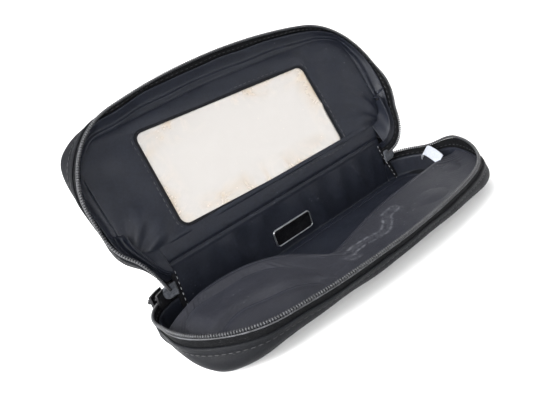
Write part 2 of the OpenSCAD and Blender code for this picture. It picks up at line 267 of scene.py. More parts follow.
def scatter(
    name: str,
    unit: Array,
    unit_faces: Array,
    places: Array,
    axes: tuple[Array, Array, Array],
    material: Material,
) -> Piece:
    """Copies of one small shape, set at each place in that place's own axes, as one piece.

    Args:
        name: the piece's name.
        unit: the shape's points, in its own x, y and z.
        unit_faces: its faces.
        places: where each copy goes.
        axes: the directions of the shape's x, y and z at each place.
        material: its finish.

    Returns:
        The new object.
    """
    x, y, z = (a[:, None, :] for a in axes)
    points = places[:, None, :] + unit[:, 0, None] * x + unit[:, 1, None] * y + unit[:, 2, None] * z
    faces = unit_faces[None] + (np.arange(len(places)) * len(unit))[:, None, None]
    uv = np.zeros((len(places) * len(unit), 2))
    return put_mesh(name, points, faces.reshape(-1, unit_faces.shape[1]), material, uv)


def pebble(size: Sequence[float], around: int, power: float, rings: int = 6) -> tuple[Array, Array]:
    """A small closed superellipsoid with its poles on z: each sine and cosine is raised to power.

    Args:
        size: its three half sizes.
        around: points round each ring.
        power: below 1 makes it squarer.
        rings: rings from pole to pole.

    Returns:
        Its points and quads, with a fan of quads over each pole's small ring.
    """
    lat = np.linspace(-math.pi / 2 * 0.98, math.pi / 2 * 0.98, rings)[:, None]
    lon = np.linspace(0, 2 * math.pi, around, endpoint=False)[None, :]

    def pull(x: Array) -> Array:
        """Keeps the sign and raises the size to power."""
        return np.sign(x) * np.abs(x) ** power

    points = np.stack(
        [
            size[0] * pull(np.cos(lat)) * pull(np.cos(lon)),
            size[1] * pull(np.cos(lat)) * pull(np.sin(lon)),
            size[2] * pull(np.sin(lat)) * np.ones_like(lon),
        ],
        axis=-1,
    )
    sides = grid_faces(rings, around, close_columns=True)[:, ::-1]
    k = np.arange(1, around // 2)
    fan = np.stack([0 * k, 2 * k - 1, 2 * k, 2 * k + 1], axis=-1)
    return points.reshape(-1, 3), np.vstack([sides, fan[:, ::-1], fan + (rings - 1) * around])


def tube(
    name: str, path: Array, up: Array, half: tuple[float, float], material: Material, sides: int = 12
) -> Piece:
    """An oval cord along a path, half[0] out of the surface and half[1] across it."""
    _, side, top = path_frames(path, up)
    a = np.linspace(0, 2 * math.pi, sides, endpoint=False)
    taper = np.sqrt(np.clip(1 - (np.abs(np.linspace(-1, 1, len(path))) ** 60), 0.02, 1))
    ring = half[0] * np.cos(a)[None, :, None] * side[:, None]
    ring = ring + half[1] * np.sin(a)[None, :, None] * top[:, None]
    return sweep(name, path[:, None] + ring * taper[:, None, None], material)


def stitches(
    name: str, path: Array, up: Array, material: Material, length: float, gap: float, radius: float
) -> Piece:
    """A row of thread along a path: each stitch is a long pebble, laid flat on the cloth."""
    run = lengths(path)[-1]
    count = max(int(run / (length + gap)), 2)
    places = even_path(path, count)
    along, side, top = path_frames(places, even_path(up, count))
    unit, faces = pebble((radius, radius * 1.3, length / 2), around=6, power=0.9)
    return scatter(name, unit, faces, places, (top, side, along), material)


# ---------------------------------------------------------------- finishes


def linear(hex_colour: str) -> tuple[float, float, float, float]:
    """Turns an sRGB hex colour to linear light with alpha 1."""
    parts = [int(hex_colour.lstrip("#")[i : i + 2], 16) / 255 for i in (0, 2, 4)]
    return tuple([c / 12.92 if c <= 0.04045 else ((c + 0.055) / 1.055) ** 2.4 for c in parts] + [1.0])


def add(tree: bpy.types.NodeTree, kind: str, settings: dict, links: Optional[dict] = None) -> bpy.types.Node:
    """Adds a node.

    Args:
        tree: where it goes.
        kind: the node's type.
        settings: its own properties by name, and its sockets' values by name or number.
        links: the sockets that feed its inputs, by the input's name or number.

    Returns:
        The new node.
    """
    node = tree.nodes.new(kind)
    own = [key for key in settings if isinstance(key, str) and key in node.bl_rna.properties]
    for key in own:
        setattr(node, key, settings[key])
    for key in settings:
        if key not in own:
            node.inputs[key].default_value = settings[key]
    for key, source in (links or {}).items():
        tree.links.new(source, node.inputs[key])
    return node


class Recipe:
    """A new material's nodes, with a short method for each kind that repeats."""

    def __init__(self, name: str) -> None:
        """Starts a material with nothing but its coordinates: the piece's own space and its cloth's."""
        self.material = bpy.data.materials.new(name)
        self.material.use_nodes = True
        self.tree = self.material.node_tree
        self.tree.nodes.clear()
        coordinates = add(self.tree, "ShaderNodeTexCoord", {})
        self.place = coordinates.outputs["Object"]
        self.cloth = coordinates.outputs["UV"]

    def noise(self, size: float, detail: float, **more: float) -> Socket:
        """Noise in the piece's space: half a wave is size millimetres, so the scale is 1000 / (2 size)."""
        settings = {"Scale": 1000.0 / size / 2, "Detail": detail} | more
        return add(self.tree, "ShaderNodeTexNoise", settings, {"Vector": self.place}).outputs["Fac"]

    def ranged(
        self, value: Socket, low: float = 0.0, high: float = 1.0, least: float = 0.0, most: float = 1.0
    ) -> Socket:
        """Maps low and high to least and most, and goes no further."""
        settings = {"From Min": low, "From Max": high, "To Min": least, "To Max": most}
        return add(self.tree, "ShaderNodeMapRange", settings, {"Value": value}).outputs[0]

    def specks(self, cell: float, low: float, high: float, most: float) -> Socket:
        """A round speck in each random cell: most up to low of the cell's size, and none from high on."""
        cells = add(self.tree, "ShaderNodeTexVoronoi", {"Scale": 1000.0 / cell}, {"Vector": self.place})
        return self.ranged(cells.outputs["Distance"], low, high, most, 0.0)

    def calc(self, operation: str, *inputs: Socket | float, **more: bool) -> Socket:
        """One operation on sockets and numbers, in order."""
        links = {i: x for i, x in enumerate(inputs) if isinstance(x, Socket)}
        numbers = {i: x for i, x in enumerate(inputs) if i not in links}
        return add(self.tree, "ShaderNodeMath", {"operation": operation} | numbers | more, links).outputs[0]

    def mix(self, share: Socket, first: Socket | str, second: Socket | str) -> Socket:
        """Goes from the first colour to the second by share; each is a socket or a hex colour."""
        settings, links = {"data_type": "RGBA"}, {0: share}
        for key, colour in ((6, first), (7, second)):
            if isinstance(colour, str):
                settings[key] = linear(colour)
            else:
                links[key] = colour
        return add(self.tree, "ShaderNodeMix", settings, links).outputs[2]

    def relief(self, height: Socket, depth: float, below: Optional[Socket] = None) -> Socket:
        """A normal raised by height, depth being in millimetres, on top of the normal below."""
        links = {"Height": height} if below is None else {"Height": height, "Normal": below}
        return add(self.tree, "ShaderNodeBump", {"Strength": 1.0, "Distance": depth * MM}, links).outputs[0]

    def surface(
        self, settings: dict, colour: Socket, rough: Socket, normal: Optional[Socket] = None
    ) -> Socket:
        """The Principled shader, with what varies fed by sockets."""
        links = {"Base Color": colour, "Roughness": rough} | ({} if normal is None else {"Normal": normal})
        return add(self.tree, "ShaderNodeBsdfPrincipled", settings, links).outputs[0]

    def done(self, surface: Socket) -> Material:
        """Joins the surface to the material's output."""
        add(self.tree, "ShaderNodeOutputMaterial", {}, {"Surface": surface})
        return self.material


class Weave(Enum):
    """How a cloth's threads cross: the turn of each set of threads, in degrees."""

    PLAIN = (0, 90)
    SATIN = (0, 68)
    HERRINGBONE = (-45, 45)
    RIBBED = (0,)


@dataclass(frozen=True)
class Cloth:
    """A woven finish: two dark tones clouded together, a weave, creases, and lint in places."""

    name: str
    dark: str
    light: str
    weave: Weave
    thread: float
    roughness: float
    sheen: float
    sheen_tint: str
    gloss: float = 0.15
    weave_depth: float = 0.05
    crease_size: float = 9.0
    crease_depth: float = 0.25
    lint: float = 0.0
    lint_colour: str = "#8d9096"
    rubbed: bool = False
    rub_colour: str = "#a9abb2"

    def weave_height(self, recipe: Recipe) -> Socket:
        """The threads' height from 0 to 1: a band of waves for each set of threads, multiplied."""
        # A wave texture's bands repeat every 2 pi / (20 scale) of its coordinate, here in metres,
        # so the thread's spacing sets the scale.
        scale = 2 * math.pi / (20 * self.thread * MM)
        bands = {"wave_type": "BANDS", "bands_direction": "X", "Scale": scale}
        bands |= {"Distortion": 0.6, "Detail": 1.0}
        heights = []
        for turn in self.weave.value:
            rotation = {"Rotation": (0, 0, math.radians(turn))}
            turned = add(recipe.tree, "ShaderNodeMapping", rotation, {"Vector": recipe.cloth}).outputs[0]
            heights.append(add(recipe.tree, "ShaderNodeTexWave", bands, {"Vector": turned}).outputs["Fac"])
        return recipe.calc("MULTIPLY", *heights) if len(heights) > 1 else heights[0]

    def make(self) -> Material:
        """Builds the material: clouds about 7 mm across and fuzz of half a millimetre mix the two tones."""
        recipe = Recipe(self.name)
        cloudy = recipe.ranged(recipe.noise(7.143, 6.0, Roughness=0.6), 0.3, 0.7)
        fuzzy = recipe.ranged(recipe.noise(0.5556, 3.0, Roughness=0.7), 0.35, 0.75)
        blend = recipe.calc("MULTIPLY", recipe.calc("MULTIPLY_ADD", cloudy, 0.45, fuzzy), 0.62)
        colour = recipe.mix(blend, self.dark, self.light)
        if self.lint:
            where = recipe.ranged(recipe.noise(11.11, 4.0), 0.6, 0.72, most=self.lint)
            dots = recipe.calc("MULTIPLY", recipe.specks(2.381, 0.1, 0.2, 1.0), where)
            colour = recipe.mix(dots, colour, self.lint_colour)
        if self.rubbed:
            worn = add(recipe.tree, "ShaderNodeAttribute", {"attribute_name": "rub"}).outputs["Fac"]
            broken = recipe.ranged(recipe.noise(1.923, 5.0, Distortion=1.5), 0.36, 0.64, most=0.13)
            colour = recipe.mix(recipe.calc("MULTIPLY", worn, broken), colour, self.rub_colour)
        soft = recipe.relief(recipe.noise(self.crease_size, 3.0, Distortion=0.4), self.crease_depth)
        fine = recipe.relief(self.weave_height(recipe), self.weave_depth, soft)
        rough = recipe.ranged(cloudy, least=self.roughness - 0.06, most=self.roughness + 0.08)
        settings = {
            "Sheen Weight": self.sheen,
            "Sheen Roughness": 0.45,
            "Sheen Tint": linear(self.sheen_tint),
            "Specular IOR Level": self.gloss,
            "IOR": 1.5,
        }
        return recipe.done(recipe.surface(settings, colour, rough, fine))


@dataclass(frozen=True)
class Solid:
    """A moulded, rolled or enamelled finish: one colour mottled towards another, with fine grain."""

    name: str
    colour: str
    mottle: str
    roughness: float
    metallic: float = 0.0
    grain_size: float = 0.6
    grain_depth: float = 0.01
    mottle_size: float = 6.0
    coat: float = 0.0
    threshold: tuple[float, float] = (0.4, 0.75)

    def make(self) -> Material:
        """Builds the material from the finish's settings."""
        recipe = Recipe(self.name)
        patches = recipe.noise(self.mottle_size, 5.0)
        colour = recipe.mix(recipe.ranged(patches, *self.threshold), self.colour, self.mottle)
        normal = recipe.relief(recipe.noise(self.grain_size, 2.0), self.grain_depth)
        rough = recipe.ranged(patches, least=max(self.roughness - 0.05, 0.02), most=self.roughness + 0.08)
        settings = {"Metallic": self.metallic, "Coat Weight": self.coat, "Coat Roughness": 0.08}
        return recipe.done(recipe.surface(settings, colour, rough, normal))


@dataclass(frozen=True)
class StainedMirror:
    """Silvered glass under a thin film of face powder, thicker at the rim and in a few smears."""

    name: str
    centre: tuple[float, float, float]
    along: tuple[float, float, float]
    up: tuple[float, float, float]
    half: tuple[float, float]
    clear: str = "#aeaba8"
    stain: str = "#9b8a73"
    rim_w: float = 0.012

    def make(self) -> Material:
        """Builds the mirror: the film is drawn from the distance to the glass's edge and noise."""
        recipe = Recipe(self.name)

        def vector(operation: str, second: Sequence[float], first: Socket, output: str) -> Socket:
            """One operation on a vector socket and a fixed vector."""
            settings = {"operation": operation, 1: second}
            return add(recipe.tree, "ShaderNodeVectorMath", settings, {0: first}).outputs[output]

        from_centre = vector("SUBTRACT", self.centre, recipe.place, "Vector")
        rims = []
        for direction, half in ((self.along, self.half[0]), (self.up, self.half[1])):
            reach = recipe.calc("ABSOLUTE", vector("DOT_PRODUCT", direction, from_centre, "Value"))
            rims.append(recipe.ranged(reach, half - self.rim_w, half))
        smear = recipe.ranged(recipe.noise(9.091, 8.0, Roughness=0.65, Distortion=0.8), 0.45, 0.68)
        edge = recipe.calc("MULTIPLY", recipe.calc("MAXIMUM", *rims), smear)
        dots = recipe.calc("MULTIPLY", recipe.specks(3.846, 0.05, 0.1, 0.5), smear)
        film = recipe.calc("ADD", edge, dots, use_clamp=True)
        tint = recipe.mix(film, self.clear, self.stain)
        glass = recipe.surface({"Metallic": 1.0}, tint, recipe.ranged(film, least=0.14, most=0.5))
        powder = add(recipe.tree, "ShaderNodeBsdfDiffuse", {}, {"Color": tint}).outputs[0]
        veil = recipe.ranged(film, least=0.42, most=0.85)
        both = add(recipe.tree, "ShaderNodeMixShader", {}, {0: veil, 1: glass, 2: powder})
        return recipe.done(both.outputs[0])


class Finishes:
    """Every material of the bag, made once."""

    def __init__(self) -> None:
        """Makes the materials."""
        # Nylon 6.6 twill, piece-dyed black and lightly calendered: nearly black, with a soft grey
        # sheen where it turns away. Its 0.2 mm threads are drawn at 0.6 mm, so that they show.
        self.nylon = Cloth(
            "black_nylon_twill_calendered", "#08090b", "#121317", Weave.SATIN, 0.6, 0.55, 0.015, "#8c90a0",
            gloss=0.09, weave_depth=0.05, crease_size=16, crease_depth=0.5, lint=0.12,
        ).make()
        # Acetate satin lining: smooth, bluish black, with long soft highlights on its folds.
        self.satin = Cloth(
            "blue_black_satin_lining_woven", "#0d0f15", "#1b1e27", Weave.SATIN, 0.5, 0.42, 0.03, "#8a90a8",
            gloss=0.18, weave_depth=0.03, crease_size=12, crease_depth=0.45, lint=0.3,
        ).make()
        # The pocket's satin has rubbed grey with use.
        self.pocket = Cloth(
            "charcoal_satin_pocket_rubbed", "#131419", "#22232a", Weave.SATIN, 0.5, 0.5, 0.04, "#a8aabc",
            gloss=0.16, rubbed=True, weave_depth=0.03, crease_size=14, crease_depth=0.5, lint=0.25,
        ).make()
        # Polyester zip tape in a herringbone weave: matt, with a fuzzy grey bloom.
        self.tape = Cloth(
            "black_polyester_tape_herringbone", "#040405", "#0e0f11", Weave.HERRINGBONE, 0.9, 0.8, 0.02,
            "#77797f",
            gloss=0.08, weave_depth=0.09, crease_size=6, crease_depth=0.12, lint=0.2,
        ).make()
        # Grosgrain binding: narrow ribs across its length.
        self.binding = Cloth(
            "black_grosgrain_binding_ribbed", "#070709", "#131418", Weave.RIBBED, 0.7, 0.7, 0.03, "#6a6c74",
            gloss=0.1, weave_depth=0.08, crease_size=8, crease_depth=0.1,
        ).make()
        # Folded webbing over the zip's ends, speckled light and dark grey.
        self.webbing = Cloth(
            "grey_webbing_tab_speckled", "#232529", "#5d6066", Weave.PLAIN, 0.8, 0.8, 0.05, "#9a9da3",
            weave_depth=0.12, crease_size=4, crease_depth=0.15,
        ).make()
        # Woven white polyester ribbon with a satin face.
        self.label = Cloth(
            "white_label_ribbon_satin", "#8b8f98", "#a6aab2", Weave.PLAIN, 0.6, 0.55, 0.3, "#ffffff",
            weave_depth=0.05, crease_size=8, crease_depth=0.2,
        ).make()
        # Injection-moulded acetal teeth: dark grey, smooth, with a small sharp highlight each.
        self.teeth = Solid("dark_acetal_teeth_moulded", "#16171a", "#2b2c30", 0.42, mottle_size=1.5).make()
        # Bonded polyester thread, grey where it catches the light.
        self.thread = Solid("charcoal_thread_bonded", "#1a1b1e", "#3c3d41", 0.6, mottle_size=2.0).make()
        self.dark_thread = Solid("black_thread_bonded", "#0d0e10", "#1f2024", 0.5, mottle_size=2.0).make()
        self.pale_thread = Solid("grey_thread_bonded", "#6d6f74", "#a3a5a8", 0.6, mottle_size=1.5).make()
        # Nickel-plated zinc, brushed.
        self.nickel = Solid(
            "nickel_plated_zinc_brushed", "#9fa2a6", "#c9ccd0", 0.28, metallic=1.0, mottle_size=3,
            grain_depth=0.004,
        ).make()
        # Stoved black enamel: very smooth, with a clear reflection.
        self.enamel = Solid(
            "black_enamel_stoved", "#040405", "#0a0a0c", 0.22, coat=0.25, mottle_size=4, grain_size=2,
            grain_depth=0.002,
        ).make()
        # Black electrophoretic paint on a die-cast slider, worn to grey in small places.
        self.slider = Solid(
            "black_painted_zinc_diecast", "#141417", "#45464a", 0.35, metallic=0.6, mottle_size=2.5,
            threshold=(0.58, 0.78),
        ).make()
        # Open-cell polyurethane foam, polythene board and grey mirror card, all inside the cloth.
        self.foam = Solid(
            "grey_polyurethane_foam_cut", "#5a5b5f", "#6d6e72", 0.9, grain_size=0.8, grain_depth=0.2
        ).make()
        self.board = Solid("black_polythene_board_rolled", "#2b2c2e", "#3a3b3d", 0.5, grain_size=1.0).make()
        self.card = Solid(
            "grey_backing_card_pressed", "#8a8274", "#9c9486", 0.85, grain_size=0.5, grain_depth=0.04
        ).make()
        # Matt pale studio paper.
        self.paper = Solid(
            "white_studio_paper_matt", "#f4f4f4", "#f7f7f7", 0.9, grain_depth=0.0, mottle_size=400
        ).make()


# ---------------------------------------------------------------- the bag's sizes


@dataclass(frozen=True)
class Outline:
    """A rounded plan, open at the spine: rear corners, straight sides, front corners, bowed front."""

    width: float
    depth: float
    corner_r: float
    front_r: float
    spine_w: float
    spine_y: float
    rear_end: float = 0.22
    side_end: float = 0.34
    corner_end: float = 0.62

    def at(self, s: Array, inset: Array) -> Array:
        """Points on the plan, moved inwards by inset.

        The right half runs from s = 0 at the spine's end to s = 1 at the middle of the front, and
        the left half is its mirror image, back to the spine at s = 2. Arcs are centre + radius
        (cos a, sin a), and the front's arc meets the corner's in a common tangent.

        Args:
            s: place along the outline, from 0 to 2.
            inset: distance inwards, in millimetres, in a shape that fits s.

        Returns:
            x and y, in a last axis of two.
        """
        s, inset = np.broadcast_arrays(np.asarray(s, float), np.asarray(inset, float))
        left = s > 1.0
        h = np.where(left, 2.0 - s, s)
        rear = (self.width - self.spine_w) / 2
        rear_y = self.spine_y - rear
        corner_x = self.width / 2 - self.corner_r
        turn = math.asin(corner_x / (self.front_r - self.corner_r))
        front_y = self.spine_y - self.depth + self.front_r
        corner_y = front_y - (self.front_r - self.corner_r) * math.cos(turn)
        a = math.pi / 2 * (1 - h / self.rear_end)
        on_rear = (self.spine_w / 2 + (rear - inset) * np.cos(a), rear_y + (rear - inset) * np.sin(a))
        f = (h - self.rear_end) / (self.side_end - self.rear_end)
        on_side = (self.width / 2 - inset, rear_y + (corner_y - rear_y) * f)
        a = (turn - math.pi / 2) * (h - self.side_end) / (self.corner_end - self.side_end)
        r = self.corner_r - inset
        on_corner = (corner_x + r * np.cos(a), corner_y + r * np.sin(a))
        a = turn * (1 - h) / (1 - self.corner_end)
        r = self.front_r - inset
        on_front = (r * np.sin(a), front_y - r * np.cos(a))
        cases = [h <= self.rear_end, h <= self.side_end, h <= self.corner_end]
        x = np.select(cases, [on_rear[0], on_side[0], on_corner[0]], on_front[0])
        y = np.select(cases, [on_rear[1], on_side[1], on_corner[1]], on_front[1])
        return np.stack([np.where(left, -x, x), y], axis=-1)


@dataclass(frozen=True)
class BagSizes:
    """The bag's driving sizes, as the CAD has them, and the walls that follow from them."""

    rim_w: float = 182.0
    rim_d: float = 76.0
    rim_corner_r: float = 42.0
    rim_front_r: float = 300.0
    spine_w: float = 140.0
    base_h: float = 18.0
    lid_h: float = 13.0
    panel_w: float = 176.0
    panel_d: float = 69.0
    panel_corner_r: float = 16.0
    panel_front_r: float = 900.0
    belly: float = 0.12
    mirror_r: float = 4.5
    tooth_pitch: float = 1.12

    @property
    def spine_y(self) -> float:
        """The spine's outer face."""
        return self.panel_d / 2

    @property
    def top_z(self) -> float:
        """Height of the shut lid's top, where the hinge line lies."""
        return self.base_h + self.lid_h

    def outline(self, share: Array, s: Array, inset: Array) -> Array:
        """The wall's plan at a share of its height: the panel's plan at 0 and the rim's at 1."""
        spine = (self.spine_w, self.spine_y)
        low = Outline(self.panel_w, self.panel_d, self.panel_corner_r, self.panel_front_r, *spine)
        high = Outline(self.rim_w, self.rim_d, self.rim_corner_r, self.rim_front_r, *spine)
        mix = share + self.belly * np.sin(math.pi * np.clip(share, 0, 1))
        a, b = low.at(s, inset), high.at(s, inset)
        return a + (b - a) * np.asarray(mix)[..., None]

    def lift(self, plan: Array) -> Array:
        """How far the zip line rises at the bag's two ends, in front of its rear corners."""
        reach = plan[..., 0] / (self.rim_w / 2)
        return (3.0 + 1.8 * reach) * reach**4 * smoothstep((self.spine_y - 16.0 - plan[..., 1]) / 22.0)

    def base_wall(self, s: Array, z: Array, inset: Array) -> Array:
        """Points of the base's wall at height z, moved inwards by inset."""
        share = np.clip(np.asarray(z, float) / self.base_h, 0, 1.1)
        plan = self.outline(share, s, inset)
        return raised(plan, z + self.lift(plan) * share**2)

    def lid_wall(self, s: Array, depth: Array, inset: Array) -> Array:
        """Points of the shut lid's wall at a depth below its top, moved inwards by inset."""
        share = np.clip(np.asarray(depth, float) / self.lid_h, 0, 1.1)
        plan = self.outline(share, s, inset)
        return raised(plan, self.top_z - depth + self.lift(plan) * share**2)


SIZES = BagSizes()


@dataclass(frozen=True)
class Hinge:
    """The lid's fold: its line along the top of the spine, and how far the lid stands open."""

    y: float
    z: float
    open_deg: float = 112.0
    soft_from: float = 70.0
    soft_to: float = 85.0

    def share(self, points: Array) -> Array:
        """How much of the turn a point takes: it rises with |x| round the rear corner."""
        return smoothstep((np.abs(points[..., 0]) - self.soft_from) / (self.soft_to - self.soft_from))

    def open(self, points: Array, share: Optional[Array] = None) -> Array:
        """Turns points of the shut lid back about the hinge line.

        Args:
            points: places on the shut lid.
            share: how much of the whole turn each takes, or all of it.

        Returns:
            The places with the lid open: y and z turned by share times the open angle.
        """
        a = math.radians(self.open_deg) * (1.0 if share is None else share)
        y, z = points[..., 1] - self.y, points[..., 2] - self.z
        c, s = np.cos(a), np.sin(a)
        return np.stack([points[..., 0], self.y + y * c + z * s, self.z - y * s + z * c], axis=-1)


HINGE = Hinge(SIZES.spine_y, SIZES.top_z)


def rounded_rectangle(width: float, height: float, radius: float, count: int) -> Array:
    """Points at even distances round a rectangle with round corners, anticlockwise from its right."""
    a = np.linspace(0, 2 * math.pi, 4 * 24, endpoint=False) + math.pi / 4 * 0.02
    x = np.sign(np.cos(a)) * (width / 2 - radius) + radius * np.cos(a)
    y = np.sign(np.sin(a)) * (height / 2 - radius) + radius * np.sin(a)
    loop = np.stack([x, y], axis=-1)
    start = np.array([[width / 2, 0.0]])
    return even_path(np.vstack([start, loop, start]), count + 1)[:-1]


def moulded(
    name: str,
    outline: Array,
    layers: Points,
    origin: Sequence[float],
    axes: Points,
    material: Material,
) -> Piece:
    """A small plate with rounded edges: copies of its outline, each set in and raised, joined up.

    Args:
        name: the piece's name.
        outline: its plan, anticlockwise.
        layers: the inset and the height of each copy.
        origin: where the plan's middle goes.
        axes: the directions of the plan's x and y and of height.
        material: its finish.

    Returns:
        The new object.
    """
    along = np.roll(outline, -1, axis=0) - np.roll(outline, 1, axis=0)
    along /= np.linalg.norm(along, axis=1, keepdims=True)
    inwards = np.stack([-along[:, 1], along[:, 0]], axis=-1)
    x, y, z = (np.asarray(a, float) for a in axes)
    rings = []
    for inset, height in layers:
        plan = outline + inset * inwards
        rings.append(np.asarray(origin) + plan[:, :1] * x + plan[:, 1:] * y + height * z)
    rings = np.stack(rings)
    return sweep(name, rings[:, ::-1] if np.dot(np.cross(x, y), z) > 0 else rings, material)


def disc(
    name: str,
    rim: Array,
    middle: Array,
    height: Callable[[Array, Array], Array],
    rings: int,
    material: Material,
) -> Piece:
    """A panel between two closed loops, or a loop and a point, with a height that is added to it.

    Args:
        name: the piece's name.
        rim: the outer loop, anticlockwise from above.
        middle: the inner loop with as many points, or one point.
        height: how far points lie from the flat, from the points and their share from rim to middle.
        rings: how many steps there are from rim to middle.
        material: its finish.

    Returns:
        The new object, whose points run round the rim and then inwards.
    """
    share = np.linspace(0, 1, rings)[None, :, None]
    grid = rim[:, None, :] * (1 - share) + np.broadcast_to(middle, rim.shape)[:, None, :] * share
    grid[..., 2] += height(grid, np.broadcast_to(share[..., 0], grid.shape[:2]))
    faces = grid_faces(*grid.shape[:2], close_rows=True)
    return put_mesh(name, grid, faces, material, grid[..., :2] * MM)


def mesh_points(mesh: bpy.types.Mesh) -> Array:
    """A mesh's points in metres."""
    flat = np.zeros(len(mesh.vertices) * 3, np.float32)
    mesh.vertices.foreach_get("co", flat)
    return flat.reshape(-1, 3)


def move_points(mesh: bpy.types.Mesh, points: Array) -> None:
    """Gives a mesh's points new places in metres."""
    mesh.vertices.foreach_set("co", points.astype(np.float32).ravel())
    mesh.update()


def reshape_piece(piece: Piece, change: Callable[[Array], Array]) -> None:
    """Moves a piece's points by a function of their places in millimetres."""
    move_points(piece.data, change(mesh_points(piece.data).astype(float) / MM) * MM)


def fit_piece(piece: Piece, body: str, slot: str, *nodes: str) -> None:
    """Rides a piece on its body and hides the CAD nodes that it stands for, if any.

    Args:
        piece: the piece.
        body: the body that it moves with.
        slot: not used.
        nodes: the CAD nodes that it stands for.
    """
    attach(piece, body)
    if nodes:
        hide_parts(*nodes)


def thicken(piece: Piece, thickness: float) -> Piece:
    """Gives a sheet its thickness in millimetres, half on each side."""
    solid = piece.modifiers.new("thickness", "SOLIDIFY")
    solid.thickness = thickness * MM
    solid.offset = 0.0
    return piece


def settle(piece: Piece, pinned: Array, frames: int, most: float, gravity: float) -> None:
    """Lets a sheet hang as cloth, caps how far its points moved, and keeps the result in the mesh.

    Args:
        piece: the sheet.
        pinned: how firmly each point is sewn down, from 0 to 1.
        frames: how long it hangs.
        most: the furthest that a point may move, in millimetres.
        gravity: the share of real gravity that acts.
    """
    start = mesh_points(piece.data)
    group = piece.vertex_groups.new(name="sewn")
    for level in np.unique(np.round(pinned, 1)):
        at = np.flatnonzero(np.round(pinned, 1) == level).tolist()
        group.add(at, float(level), "REPLACE")
    cloth = piece.modifiers.new("hang", "CLOTH")
    cloth.settings.quality = 6
    cloth.settings.mass = 0.1
    cloth.settings.tension_stiffness = 12
    cloth.settings.compression_stiffness = 12
    cloth.settings.bending_stiffness = 1.5
    cloth.settings.vertex_group_mass = "sewn"
    cloth.settings.pin_stiffness = 1.0
    cloth.settings.effector_weights.gravity = gravity
    cloth.settings.shrink_min = 0.0
    cloth.collision_settings.use_collision = False
    cloth.point_cache.frame_start, cloth.point_cache.frame_end = 1, frames
    scene = bpy.context.scene
    for frame_number in range(1, frames + 1):
        scene.frame_set(frame_number)
    hung = piece.evaluated_get(bpy.context.evaluated_depsgraph_get()).to_mesh()
    end = mesh_points(hung)
    piece.to_mesh_clear()
    piece.modifiers.remove(cloth)
    piece.vertex_groups.clear()
    scene.frame_set(1)
    move = end - start
    size = np.linalg.norm(move, axis=1, keepdims=True)
    move *= np.minimum(1.0, most * MM / np.maximum(size, 1e-9))
    move_points(piece.data, start + move)
    log.info("%s hung for %d frames, moved up to %.1f mm", piece.name, frames, float(size.max()) / MM)


# ---------------------------------------------------------------- the wall, shared by tray and lid


